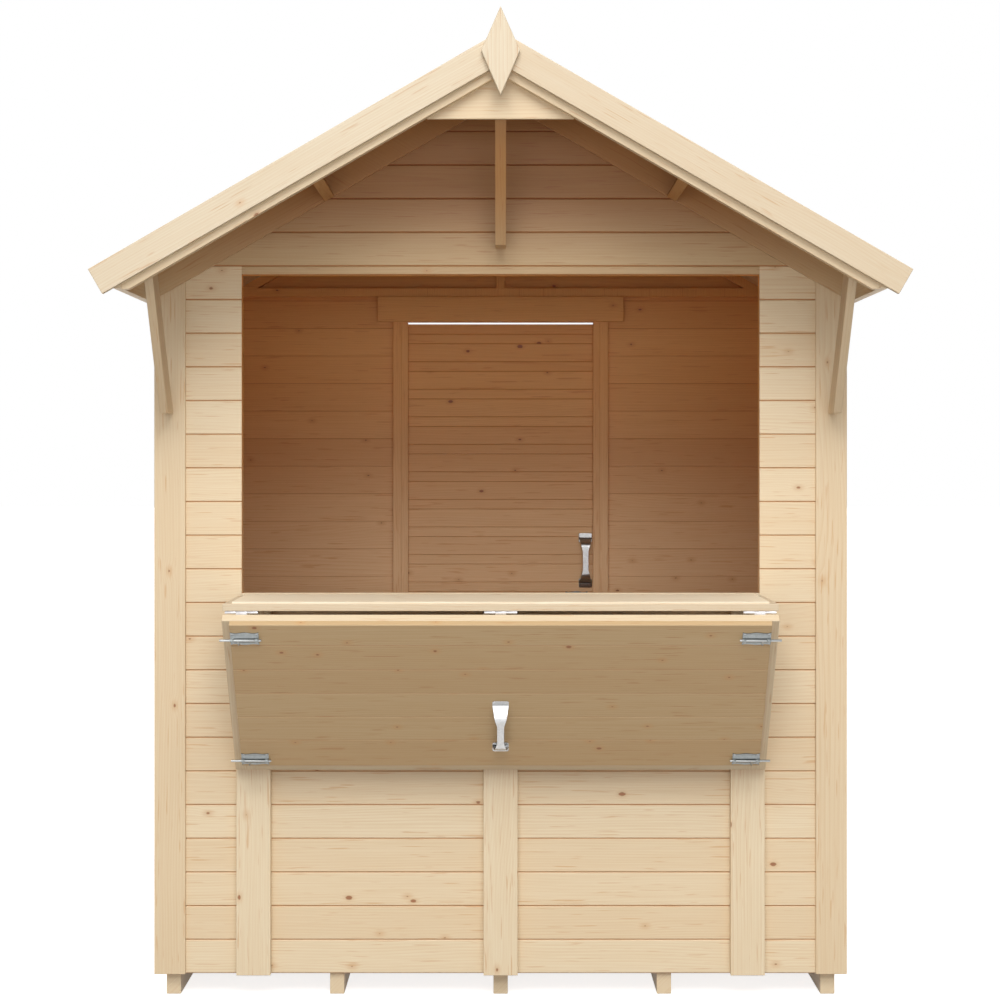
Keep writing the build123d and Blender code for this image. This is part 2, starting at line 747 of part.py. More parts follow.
# Hatch furniture on the flap's inner face
flap_face = flap_frame_t + flap_boards_t


def flap_spot(x, below_top):
    """Plane on the flap's inner face, local X to the right, local Y up the flap."""
    return Plane(origin=flap_origin + flap_up * (flap_len - below_top) + flap_out * flap_face
                 + Vector(x, 0, 0), x_dir=(1, 0, 0), z_dir=flap_out)


bolt_rows = (("upper", bolt_upper_at), ("lower", bolt_lower_at))
with BuildPart() as hatch_bolt_plates:
    for row, below in bolt_rows:
        for side in (-1, 1):
            bolt_plate(flap_spot(side * bolt_plate_x, below))
keep(hatch_bolt_plates, "hatch_bolt_plates")
for row, below in bolt_rows:
    for side, side_name in ((-1, "left"), (1, "right")):
        spot = flap_spot(side * bolt_plate_x, below)
        keep(bolt_rod(spot, side * (bolt_tip - bolt_plate_x), side, side * bolt_knob_at),
             f"bolt_rod_{row}_{side_name}")
middle = flap_spot(0, flap_pull_at)
middle = Plane(origin=middle.origin, x_dir=middle.y_dir, z_dir=flap_out)
keep(pull_handle(middle), "flap_pull_handle")


third = hinge_len / 3
hinge_centres = (-hinge_x, 0.0, hinge_x)

# Flap hinges: the outer knuckles and pin are the counter's, the middle knuckle the flap's
with BuildPart() as flap_hinge_counter:
    for x in hinge_centres:
        rod_x(x - hinge_len / 2, x + hinge_len / 2, flap_pin.Y, flap_pin.Z, pin_r)
        for x0, x1 in ((x - hinge_len / 2, x - third / 2 - knuckle_gap),
                       (x + third / 2 + knuckle_gap, x + hinge_len / 2)):
            rod_x(x0, x1, flap_pin.Y, flap_pin.Z, knuckle_r)
            bar(x0, x1, counter_front, counter_front + hinge_leaf,
                counter_low - hinge_plate, counter_low)
keep(flap_hinge_counter, "flap_hinges_counter_side")
with BuildPart() as flap_hinge_flap:
    for x in hinge_centres:
        x0, x1 = x - third / 2, x + third / 2
        rod_x(x0, x1, flap_pin.Y, flap_pin.Z, knuckle_r)
        flap_slab(x0, x1, flap_len - hinge_leaf, flap_len + flap_gap, -hinge_plate, 0)
        rod_x(x0, x1, flap_pin.Y, flap_pin.Z, pin_r + pin_play, mode=Mode.SUBTRACT)
keep(flap_hinge_flap, "flap_hinges_flap_side")

# Sill hinges: the wall's bracket carries the pin, the counter's leaf turns on it
sill_pin = Vector(0, y_front - sill_pin_out,
                  counter_low + leaf_face_gap + flap_frame_t - sill_pin_out)
with BuildPart() as sill_hinge_wall:
    for x in hinge_centres:
        rod_x(x - hinge_len / 2, x + hinge_len / 2, sill_pin.Y, sill_pin.Z, pin_r)
        for x0, x1 in ((x - hinge_len / 2, x - third / 2 - knuckle_gap),
                       (x + third / 2 + knuckle_gap, x + hinge_len / 2)):
            rod_x(x0, x1, sill_pin.Y, sill_pin.Z, knuckle_r)
            tab_low = sill_pin.Z - knuckle_r
            bar(x0, x1, sill_pin.Y, y_front, tab_low, tab_low + hinge_plate)
            bar(x0, x1, y_front - hinge_plate, y_front, tab_low, tab_low + hinge_plate)
keep(sill_hinge_wall, "sill_hinges_wall_side")
with BuildPart() as sill_hinge_counter:
    for x in hinge_centres:
        x0, x1 = x - third / 2, x + third / 2
        rod_x(x0, x1, sill_pin.Y, sill_pin.Z, knuckle_r)
        bar(x0, x1, counter_back, sill_pin.Y, sill_pin.Z - hinge_plate / 2,
            sill_pin.Z + hinge_plate / 2)
        bar(x0, x1, counter_back, counter_back + hinge_plate, counter_low,
            counter_top - counter_proud)
        rod_x(x0, x1, sill_pin.Y, sill_pin.Z, pin_r + pin_play, mode=Mode.SUBTRACT)
keep(sill_hinge_counter, "sill_hinges_counter_side")
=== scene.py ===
"""Dresses a wooden market stall: pine boards and timbers, roofing felt, zinc hardware, the stage.

Every timber is a planed stick: an eased section carried along a straight line, with ends that may
be cut on a slant. Cladding is many such boards side by side, with a V joint between them.
"""
import math

import bmesh
import bpy
import numpy as np
from bpy.props import FloatProperty, FloatVectorProperty, PointerProperty
from bpy.types import Operator, Panel, PropertyGroup
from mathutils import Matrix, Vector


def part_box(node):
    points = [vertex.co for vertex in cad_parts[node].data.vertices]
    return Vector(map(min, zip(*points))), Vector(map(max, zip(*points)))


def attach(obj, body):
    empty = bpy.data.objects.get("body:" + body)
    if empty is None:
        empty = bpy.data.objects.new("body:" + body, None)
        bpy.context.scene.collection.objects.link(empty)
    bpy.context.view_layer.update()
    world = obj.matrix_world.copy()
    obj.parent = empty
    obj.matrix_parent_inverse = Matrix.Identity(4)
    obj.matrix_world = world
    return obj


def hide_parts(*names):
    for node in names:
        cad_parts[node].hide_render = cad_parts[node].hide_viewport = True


bl_info = {
    "name": "Market stall",
    "version": (1, 0, 0),
    "blender": (4, 5, 0),
    "location": "3D View > Sidebar > Stall",
    "description": "Boards, timbers, felt and hardware of a wooden market stall",
    "category": "Object",
}

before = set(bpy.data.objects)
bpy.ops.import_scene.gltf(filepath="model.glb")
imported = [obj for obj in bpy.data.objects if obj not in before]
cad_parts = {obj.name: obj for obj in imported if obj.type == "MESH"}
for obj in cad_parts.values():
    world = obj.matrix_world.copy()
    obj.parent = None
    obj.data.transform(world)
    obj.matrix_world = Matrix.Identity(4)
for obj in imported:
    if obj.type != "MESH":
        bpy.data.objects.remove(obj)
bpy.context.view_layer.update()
rng = np.random.default_rng(11)
GRAIN_SHIFT = 40  # metres by which a timber's grain may be shifted at random

MM = 0.001
HAIR = 0.02 * MM  # left open between neighbouring boards, so that their points stay apart
TOUCH = 1e-6  # lengths closer than this count as equal
WELD = 2e-6  # points of a CAD mesh closer than this are one
ON_PLANE = 1e-5  # points closer than this to a cutting plane lie on it
FLAT, SHARP = math.radians(0.5), math.radians(40)  # flatter edges go, sharper ones are eased
FACING = 0.9  # cosine over which two directions count as the same
FIRST_WAY = 1.05  # how far a timber's first way is preferred to its others
WIDE, INWARD, UPRIGHT = (1, 0, 0), (0, 1, 0), (0, 0, 1)


def span(node):
    """Lowest and highest corner of a node, as two arrays."""
    low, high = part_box(node)
    return np.array(low), np.array(high)


# Lines of the stall that many pieces share, read from the frame
FRONT = span("front_wall_left")[0][1]
BOARD_T = span("front_wall_left")[1][1] - FRONT
BACK = span("back_wall_left")[1][1]
HALF_W = span("front_wall_right")[1][0]
OPENING = span("front_wall_right")[0][0]
HEAD = span("front_wall_left")[1][2]
CLAD_FOOT = span("front_wall_left")[0][2]
SILL = span("front_wall_below_counter")[1][2]
DOORWAY = span("back_wall_right")[0][0]
DOORWAY_HEAD = span("back_wall_right")[1][2]
RIDGE = span("barge_front_left")[1][2]

PITCH = math.radians(30)
SLOPE = math.tan(PITCH)
DECK_DROP = 15 * MM  # from the barge boards' top edge down to the roof boards' upper face
DOWN_LEFT = (-math.cos(PITCH), 0, -math.sin(PITCH))
DOWN_RIGHT = (math.cos(PITCH), 0, -math.sin(PITCH))
UP_RIGHT = (math.cos(PITCH), 0, math.sin(PITCH))
FLAP_LEAN = math.radians(37.3)
BRACE_LEAN = math.radians(38.7)


def slope_axes(side):
    """Directions down a roof slope and out of it, for side -1 on the left or 1 on the right."""
    return (np.array([side * math.cos(PITCH), 0, -math.sin(PITCH)]),
            np.array([side * math.sin(PITCH), 0, math.cos(PITCH)]))


def leaning(lean):
    """Upward direction that leans forwards by an angle."""
    return (0, -math.sin(lean), math.cos(lean))


def under_ridge(x, depth):
    """Height of the line that lies depth below the barge boards' top edge, square to the slope."""
    return RIDGE - np.abs(x) * SLOPE - depth / math.cos(PITCH)


def half_width_at(z, depth):
    """Half the roof's width at a height, on the line that lies depth under the barge boards."""
    return (RIDGE - depth / math.cos(PITCH) - z) / SLOPE


def length_value(name, description, default, smallest=0.0, largest=0.01):
    return FloatProperty(name=name, description=description, default=default, min=smallest,
                         max=largest, unit="LENGTH")


def colour_value(name, description, *default):
    return FloatVectorProperty(name=name, description=description, default=default,
                               subtype="COLOR")


def light_value(name, description, default, largest=3.0, unit="NONE"):
    return FloatProperty(name=name, description=description, default=default, min=0.0,
                         max=largest, unit=unit)


class TimberSizes(PropertyGroup):
    cover: length_value("Board cover", "Height that each cladding board shows", 0.0891, 0.05,
                        0.2)
    v_joint: length_value("V joint", "Chamfer on each edge of a board's face", 0.0028)
    inner_joint: length_value("Inner joint", "Chamfer on a board's hidden face", 0.0009)
    eased: length_value("Eased edge", "Round on a planed timber's edges", 0.0014)


class TimberColours(PropertyGroup):
    pale: colour_value("Pale wood", "Early wood between the growth lines", 0.80, 0.665, 0.46)
    warm: colour_value("Warm wood", "Late wood in the growth lines", 0.66, 0.44, 0.225)
    # Painted shade: the inner tint is multiplied into wood inside the stall and under the canopy
    inner: colour_value("Inner faces", "Tint of the wood inside the stall", 1.10, 0.655, 0.25)
    resin: colour_value("Resin", "Short marks along the grain", 0.56, 0.27, 0.085)
    blush: colour_value("Blush", "Wood close round a knot", 0.54, 0.27, 0.09)
    knot: colour_value("Knots", "Dark heart of a small knot", 0.25, 0.082, 0.017)
    # Painted shade: the seam colour darkens the V joints between boards
    seam: colour_value("Seams", "Depth of the joint between two boards", 0.46, 0.19, 0.055)


class StageValues(PropertyGroup):
    sky: light_value("Sky", "Strength of the light from above the horizon", 0.33)
    zenith: light_value("Zenith", "Strength added straight above the stall", 0.95)
    ground: light_value("Ground", "Strength of the light from below the horizon", 0.04)
    key: light_value("Front light", "Power of the wide lights before the stall", 362.0, 1e6,
                     "POWER")


# Meshes

def add_values(mesh, domain, values):
    """Named attributes of a mesh: vectors where the data has rows, and else numbers."""
    for key, data in values.items():
        kind, field = ("FLOAT_VECTOR", "vector") if np.ndim(data) == 2 else ("FLOAT", "value")
        layer = mesh.attributes.new(key, kind, domain)
        layer.data.foreach_set(field, np.ascontiguousarray(data, dtype=np.float32).ravel())


def read_values(items, key, width=1, kind=np.float32):
    """One property of all of a mesh's points, corners or faces as an array."""
    data = np.empty(len(items) * width, kind)
    items.foreach_get(key, data)
    return data.reshape(-1, width) if width > 1 else data


def put_up(name, mesh, finish, body, replaced=()):
    """A mesh as an object of one finish that rides a body and replaces CAD nodes."""
    mesh.materials.clear()
    mesh.materials.append(bpy.data.materials[finish])
    thing = bpy.data.objects.new(name, mesh)
    bpy.context.scene.collection.objects.link(thing)
    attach(thing, body)
    if replaced:
        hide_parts(*replaced)
    return thing


def array_mesh(name, points, faces, values=None):
    """A mesh from an array of points and lists of their numbers, with point attributes."""
    mesh = bpy.data.meshes.new(name)
    mesh.from_pydata(points, [], faces)
    add_values(mesh, "POINT", values or {})
    mesh.update()
    return mesh


def square_up(mesh):
    """Merges doubled points, drops faces without area and turns every face outwards."""
    work = bmesh.new()
    work.from_mesh(mesh)
    bmesh.ops.remove_doubles(work, verts=work.verts, dist=TOUCH)
    bmesh.ops.dissolve_degenerate(work, dist=TOUCH, edges=work.edges)
    bmesh.ops.recalc_face_normals(work, faces=work.faces)
    work.to_mesh(mesh)
    work.free()


def square_ends(low, high):
    """Ends cut square at two distances along a timber."""
    return lambda v, d: (0 * v + low, 0 * v + high)


def stick(start, along, across, out, width, thick, low, face, back, ends, grain=None,
          rims=(True, True), faces_room=False):
    """One timber. Its section lies on across, from low on, and on out, the normal of its face,
    which looks away from its thickness. face and back are the chamfers of its two sides. ends maps
    the section's places (across, depth) to the two distances along the timber at which it is cut.
    rims says whether its lower and upper edge meet another board in a seam."""
    return {"start": np.array(start), "along": np.array(along, float),
            "across": np.array(across, float), "out": np.array(out, float), "width": width,
            "thick": thick, "low": low, "face": face, "back": back, "ends": ends,
            "grain": rng.uniform(0, GRAIN_SHIFT, 3) if grain is None else grain,
            "rims": rims, "faces_room": faces_room}


def section(width, thick, face, back):
    """Outline of a planed board from its lower edge round: across and depth from the face. Each
    corner is cut by a chamfer of the face's or the back's width. seam is 1 in the depth of the
    lower joint and half in the upper one, and hidden is 1 on the sides away from the face."""
    across = np.array([0, 0, face, width / 2, width - face, width, width, width - back,
                       width / 2, back])
    depth = np.array([thick - back, face, 0, 0, 0, face, thick - back, thick, thick, thick])
    seam = np.array([1, 1, 0, 0, 0, 0.5, 0.5, 0, 0, 0.0])
    hidden = np.array([1, 0, 0, 0, 0, 0, 1, 1, 1, 1.0])
    return across, depth, seam, hidden


def sticks_mesh(name, sticks, finish, body, replaced):
    """Timbers in one mesh. A point is start + along*s + across*v - out*d, for the section's v and
    d and for s at each of the two end cuts. The grain attribute holds s, the distance round the
    section and a number for each timber, all shifted at random."""
    points, faces, grain, seams, tones, insides = [], [], [], [], [], []
    base = 0
    for t in sticks:
        v, d, seam, hidden = section(t["width"], t["thick"], t["face"], t["back"])
        v = np.clip(v, HAIR, t["width"] - HAIR) + t["low"]
        n = len(v)
        k = np.arange(n)
        ring = np.concatenate([[0], np.cumsum(np.hypot(np.diff(v), np.diff(d)))])
        for s in t["ends"](v, d):
            s = np.broadcast_to(s, v.shape)
            points.append(t["start"] + s[:, None] * t["along"] + v[:, None] * t["across"]
                          - d[:, None] * t["out"])
            grain.append(np.stack([s, ring + t["low"], 0 * v], 1) + t["grain"])
            seams.append(seam * np.where(k < 2, *t["rims"]))
            tones.append(np.full(n, t["grain"][0] % 1.0))
            # inside marks where the finish paints shade: the room side of a door board, else a
            # board's hidden sides
            insides.append(1 - hidden if t["faces_room"] else hidden)
        side = np.stack([k, np.roll(k, -1), np.roll(k, -1) + n, k + n], 1) + base
        faces += side.tolist() + [(k[::-1] + base).tolist(), (k + n + base).tolist()]
        base += 2 * n
    mesh = array_mesh(name, np.concatenate(points), faces,
                      {"grain": np.concatenate(grain), "seam": np.concatenate(seams),
                       "tone": np.concatenate(tones), "inside": np.concatenate(insides)})
    square_up(mesh)
    put_up(name, mesh, finish, body, replaced)


def face_grain(mesh, ways):
    """Grain of each face's corners. A face's extent is measured along each way that its timber may
    run, and its grain runs along the way with the greatest one, the first being preferred: the
    distance along that way, and the sum of those along the two directions square to it."""
    corner = read_values(mesh.loops, "vertex_index", kind=np.int32)
    start = read_values(mesh.polygons, "loop_start", kind=np.int32)
    place = read_values(mesh.vertices, "co", 3)[corner]
    run = np.array(ways, float)
    run /= np.linalg.norm(run, axis=1)[:, None]
    steep = np.abs(run[:, 2:]) > FACING
    side = np.where(steep, (1.0, 0, 0), np.cross(run, (0, 0, 1.0)))
    side /= np.linalg.norm(side, axis=1)[:, None]
    up = np.cross(run, side)
    reach = place @ run.T
    extent = np.maximum.reduceat(reach, start) - np.minimum.reduceat(reach, start)
    extent[:, 0] *= FIRST_WAY
    sizes = np.diff(np.append(start, len(corner)))
    pick = np.repeat(np.argmax(extent, axis=1), sizes)
    across = np.einsum("ij,ij->i", place, side[pick] + up[pick])
    shift = rng.uniform(0, GRAIN_SHIFT, (len(ways), 3))
    along = reach[np.arange(len(corner)), pick]
    return np.stack([along, across, 0 * across], 1) + shift[pick], shift[0, 0] % 1.0


def cuts_along(way, distances):
    """Planes square to a way at distances along it, each as (point, normal)."""
    return [(tuple(np.array(way) * distance), way) for distance in distances]


def eased_copy(name, node, finish, ways=(WIDE,), body="stall", width=None,
               segments=2, cuts=(), darker=()):
    """A copy of a CAD node, flat faces merged, with every sharp edge eased. ways are the
    directions in which its timbers run. cuts are the (point, normal) planes where timbers meet.
    Faces turned one of the darker ways take the finish's painted shade."""
    work = bmesh.new()
    work.from_mesh(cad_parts[node].data)
    bmesh.ops.remove_doubles(work, verts=work.verts, dist=WELD)
    bmesh.ops.dissolve_limit(work, angle_limit=FLAT, verts=work.verts, edges=work.edges)
    for point, normal in cuts:
        bmesh.ops.bisect_plane(work, geom=work.verts[:] + work.edges[:] + work.faces[:],
                               dist=ON_PLANE, plane_co=point, plane_no=normal)
    mesh = bpy.data.meshes.new(name)
    work.to_mesh(mesh)
    work.free()
    grain, tone = face_grain(mesh, ways)
    values = {"grain": grain, "seam": np.zeros(len(grain)), "tone": np.full(len(grain), tone)}
    if darker:
        normals = read_values(mesh.polygons, "normal", 3)
        turned = (normals @ np.array(darker, float).T).max(axis=1) > FACING
        corners = read_values(mesh.polygons, "loop_total", kind=np.int32)
        values["inside"] = np.repeat(turned, corners)
    add_values(mesh, "CORNER", values)
    ease = put_up(name, mesh, finish, body, (node,)).modifiers.new("Eased edges", "BEVEL")
    ease.width = bpy.context.scene.timber_sizes.eased if width is None else width
    ease.segments, ease.limit_method = segments, "ANGLE"
    ease.angle_limit = SHARP
    ease.use_clamp_overlap = True


# Materials

class Wiring:
    """Adds nodes to a tree: each call makes a node, sets its values and links its inputs."""

    def __init__(self, tree):
        self.tree = tree

    def put(self, made, index, value):
        if isinstance(value, bpy.types.NodeSocket):
            self.tree.links.new(value, made.inputs[index])
        else:
            made.inputs[index].default_value = value

    def node(self, kind, links=None, **settings):
        made = self.tree.nodes.new("ShaderNode" + kind)
        for key, value in settings.items():
            setattr(made, key, value)
        for index, value in (links or {}).items():
            self.put(made, index, value)
        return made

    def math(self, operation, *values):
        return self.node("Math", dict(enumerate(values)), operation=operation).outputs[0]

    def times(self, first, second):
        return self.math("MULTIPLY", first, second)

    def plus(self, first, second):
        return self.math("ADD", first, second)

    def less(self, first, second):
        return self.math("SUBTRACT", first, second)

    def step(self, value, low, high, to_low=0.0, to_high=1.0):
        """value from low to high, carried smoothly to to_low and to_high."""
        made = self.node("MapRange", {"Value": value, "From Min": low, "From Max": high,
                                      "To Min": to_low, "To Max": to_high},
                         interpolation_type="SMOOTHSTEP")
        return made.outputs["Result"]

    def mix(self, share, first, second, blend="MIX"):
        made = self.node("Mix", data_type="RGBA", blend_type=blend)
        for index, value in ((0, share), (6, first), (7, second)):
            self.put(made, index, value)
        return made.outputs[2]

    def noise(self, place, stretch, detail, rough):
        """Noise of the place, stretched by a factor on each axis."""
        wide = self.node("VectorMath", {0: place, 1: stretch}, operation="MULTIPLY").outputs[0]
        return self.node("TexNoise", {"Vector": wide, "Scale": 1.0, "Detail": detail,
                                      "Roughness": rough}).outputs[0]

    def attribute(self, name, output="Fac"):
        return self.node("Attribute", attribute_name=name).outputs[output]

    def object_place(self):
        return self.node("TexCoord").outputs["Object"]

    def seen(self):
        """1 for rays from the camera and for those that gloss or glass sends on, and else 0."""
        path = self.node("LightPath").outputs
        return self.math("MAXIMUM", path["Is Camera Ray"],
                         self.math("MAXIMUM", path["Is Glossy Ray"],
                                   path["Is Transmission Ray"]))

    def surface(self, colour, rough, height, strength, distance, **more):
        """The tree's surface: one principled shader over a bump of the height."""
        bump = self.node("Bump", {"Height": height, "Strength": strength,
                                  "Distance": distance}).outputs[0]
        shader = self.node("BsdfPrincipled", {"Base Color": colour, "Roughness": rough,
                                              "Normal": bump, **more})
        self.node("OutputMaterial", {"Surface": shader.outputs[0]})


def new_material(name):
    """The wiring of a new material without nodes."""
    material = bpy.data.materials.new(name)
    material.use_nodes = True
    material.node_tree.nodes.clear()
    return Wiring(material.node_tree)


KNOT_CELLS = 8.6  # cells in a metre, each of which may hold one knot
KNOT_SQUEEZE = 0.62  # squeeze of lengths along the grain, which draws the cells out that way
KNOT_RADIUS, KNOT_RANGE = 0.0007, 0.0045  # smallest knot, and how much larger one may be
GROWTH_LINES = 135.0  # growth lines in a metre of the trunk's radius
EARLY_WOOD = 2.4  # power that keeps most of a growth ring pale


def grain_group():
    """Pine's figure. Growth lines are rings of a trunk that the board's face cuts at a flat angle,
    so they run along it in long arches. Noise bends them, fine streaks and short resin marks lie
    over them, and a few cells hold a small knot round which the lines swerve."""
    group = bpy.data.node_groups.new("Pine grain", "ShaderNodeTree")
    group.interface.new_socket("Place", in_out="INPUT", socket_type="NodeSocketVector")
    group.interface.new_socket("Knots", in_out="INPUT", socket_type="NodeSocketFloat")
    for name in ("Line", "Streak", "Knot", "Blush", "Mark", "Height"):
        group.interface.new_socket(name, in_out="OUTPUT", socket_type="NodeSocketFloat")
    w = Wiring(group)
    given = group.nodes.new("NodeGroupInput").outputs
    place = given["Place"]
    split = w.node("SeparateXYZ", {0: place}).outputs
    fine = w.noise(place, (5.0, 420.0, 1.0), 2.0, 0.65)
    wander = w.noise(place, (1.3, 5.0, 1.0), 1.0, 0.5)
    broad = w.noise(place, (0.8, 26.0, 1.0), 1.0, 0.5)
    dash = w.noise(place, (10.0, 190.0, 1.0), 1.0, 0.4)

    # Knots: a cell's distance less a radius drawn for it, where its draw is under the share
    flat = w.node("CombineXYZ", {0: w.times(split[0], KNOT_SQUEEZE), 1: split[1]}).outputs[0]
    cells = w.node("TexVoronoi", {"Vector": flat, "Scale": KNOT_CELLS},
                   voronoi_dimensions="2D").outputs
    chance = w.node("SeparateColor", {0: cells["Color"]}).outputs
    ragged = w.times(w.less(fine, 0.5), 0.005)
    near = w.plus(w.math("DIVIDE", cells["Distance"], KNOT_CELLS), ragged)
    chosen = w.math("LESS_THAN", chance[0], given["Knots"])
    radius = w.math("MULTIPLY_ADD", w.math("POWER", chance[1], 3.0), KNOT_RANGE, KNOT_RADIUS)
    knot = w.times(w.step(w.less(near, radius), 0.0014, -0.0010), chosen)
    halo = w.times(w.step(near, 0.026, 0.002), chosen)
    blush = w.times(w.step(near, 0.015, 0.0), chosen)

    # Growth lines: the distance from a heart that wanders behind the face, bent by the noise
    bend = w.plus(w.times(w.less(wander, 0.5), 0.075), w.times(halo, 0.006))
    across = w.plus(w.less(w.math("FRACT", split[2]), 0.5), bend)
    far = w.plus(w.times(across, 0.30), split[1])
    sweep = w.math("SINE", w.times(split[0], 0.9))
    centre = w.times(w.math("FRACT", w.times(split[2], 0.37)), 0.14)
    heart = w.plus(w.times(sweep, 0.02), w.less(centre, 0.03))
    local = w.less(w.math("FRACT", split[1]), 0.5)
    reach = w.math("SQRT", w.plus(w.math("POWER", w.plus(local, bend), 2.0),
                                  w.math("POWER", heart, 2.0)))
    reach = w.plus(w.plus(reach, w.times(bend, 0.25)), w.times(far, 0.02))
    ring = w.math("FRACT", w.times(reach, GROWTH_LINES))
    line = w.times(w.math("POWER", ring, EARLY_WOOD), w.step(ring, 1.0, 0.90))
    height = w.less(w.times(line, 0.35), w.times(fine, 0.4))

    out = group.nodes.new("NodeGroupOutput")
    for name, value in (("Line", w.times(line, w.step(broad, 0.3, 0.7, 0.35, 1.0))),
                        ("Streak", fine), ("Knot", knot), ("Blush", blush),
                        ("Mark", w.step(dash, 0.655, 0.74)),
                        ("Height", w.less(height, w.times(knot, 0.5)))):
        group.links.new(value, out.inputs[name])


def pine(name, tint=(1.0, 1.0, 1.0), knots=0.34, joint=1.0, inside=None, low=1.0, high=1.75,
         least=0.46, depth=1.0):
    """Planed, unpainted pine: the grain group's lines, streaks and knots over two wood colours.
    Wood inside the stall or under its canopy takes painted shade, warmer and darker, from least
    of the inner tint at the height low to all of it, times depth, at the height high."""
    colours = bpy.context.scene.timber_colours

    def tinted(colour, share=1.0):
        return [c * t * share for c, t in zip(colour, tint)] + [1.0]

    w = new_material(name)
    out = w.node("Group", {"Place": w.attribute("grain", "Vector"), "Knots": knots},
                 node_tree=bpy.data.node_groups["Pine grain"]).outputs
    warm = tinted(colours.warm)
    colour = w.mix(w.times(out["Line"], 0.52), tinted(colours.pale), warm)
    colour = w.mix(w.step(out["Streak"], 0.35, 0.75, 0.0, 0.34), colour, warm)
    colour = w.mix(w.times(w.step(w.attribute("tone"), 0.0, 1.0), 0.30), colour,
                   tinted(colours.warm, 0.94))
    colour = w.mix(w.times(out["Mark"], 0.46), colour, tinted(colours.resin))
    colour = w.mix(w.times(out["Blush"], 0.42), colour, [*colours.blush, 1.0])
    colour = w.mix(w.times(out["Knot"], 0.92), colour, [*colours.knot, 1.0])
    # Painted shade in the V joints, from the seam attribute
    deep = w.times(w.step(w.attribute("seam"), 0.08, 0.75), joint)
    colour = w.mix(deep, colour, [*colours.seam, 1.0])
    # Painted shade: where inside is set, the inner tint is multiplied in, more of it higher up
    hidden = w.attribute("inside") if inside is None else inside
    height = w.node("SeparateXYZ", {0: w.object_place()}).outputs[2]
    painted_shade = w.times(hidden, w.step(height, low, high, least, 1.0))
    deepest = [c * depth for c in colours.inner] + [1.0]
    colour = w.mix(painted_shade, colour, w.mix(1.0, colour, deepest, "MULTIPLY"))
    rough = w.plus(w.times(out["Streak"], 0.14), 0.50)
    w.surface(colour, rough, out["Height"], 0.25, 0.0006, **{"Specular IOR Level": 0.75})


def zinc(name, base, rough, flecks):
    """Zinc plated steel: a mottled roughness and colour, and a faintly uneven surface."""
    w = new_material(name)
    place = w.object_place()
    mottle = w.node("TexVoronoi", {"Vector": place, "Scale": 260.0}).outputs["Color"]
    grey = w.node("SeparateColor", {0: mottle}).outputs[0]
    cloud = w.node("TexNoise", {"Vector": place, "Scale": 90.0, "Detail": 3.0}).outputs[0]
    colour = w.mix(w.times(w.plus(grey, cloud), flecks), [*base, 1.0],
                   [*(c * 0.72 for c in base), 1.0])
    w.surface(colour, w.plus(w.times(cloud, 0.16), rough), cloud, 0.12, 0.0004, Metallic=1.0)


def felt(name):
    """Mineral felt: dark green-grey granules with paler ones among them."""
    w = new_material(name)
    place = w.object_place()
    grit = w.node("TexVoronoi", {"Vector": place, "Scale": 900.0}).outputs
    speck = w.node("SeparateColor", {0: grit["Color"]}).outputs[0]
    patch = w.node("TexNoise", {"Vector": place, "Scale": 3.0, "Detail": 4.0}).outputs[0]
    colour = w.mix(w.step(speck, 0.45, 1.0), (0.030, 0.040, 0.036, 1), (0.155, 0.175, 0.16, 1))
    colour = w.mix(w.step(patch, 0.35, 0.75, 0.0, 0.35), colour, (0.02, 0.03, 0.026, 1))
    w.surface(colour, 0.93, w.less(1.0, grit["Distance"]), 0.6, 0.0012)


# Boards in rows

def joint_rows(low, high, first):
    """Board rows between two heights: (start, lower limit, upper limit) for each."""
    cover = bpy.context.scene.timber_sizes.cover
    number = int(math.floor((low - first) / cover + TOUCH))
    rows = []
    while first + number * cover < high - TOUCH:
        start = first + number * cover
        rows.append((start, max(start, low), min(start + cover, high)))
        number += 1
    return rows


def board(start, along, across, out, low, high, thick, ends, grain=None):
    """One cladding board, seen from low to high on across."""
    sizes = bpy.context.scene.timber_sizes
    return stick(start, along, across, out, high - low, thick, low, sizes.v_joint,
                 sizes.inner_joint, ends, grain)


def planks(start, across, out, edges, thick, face, back, ends):
    """Boards side by side between edges, with no seam at the first edge and the last."""
    return [stick(start, WIDE, across, out, b - a, thick, a, face, back, ends,
                  rims=(a > edges[0], b < edges[-1])) for a, b in zip(edges[:-1], edges[1:])]


def split_row(low, high, sill, head, half, slope):
    """Pieces of a row round an opening from sill to head and half wide: (low, high, ends) each."""
    def left(v, d):
        return slope(v, d)[0], 0 * v - half - HAIR

    def right(v, d):
        return 0 * v + half + HAIR, slope(v, d)[1]

    if high <= sill + TOUCH or low >= head - TOUCH:
        return [(low, high, slope)]
    pieces = [(low, high, left), (low, high, right)]
    if low < sill - TOUCH:
        pieces.append((low, sill, square_ends(-half, half)))
    if high > head + TOUCH:
        pieces.append((head, high, square_ends(-half, half)))
    return pieces


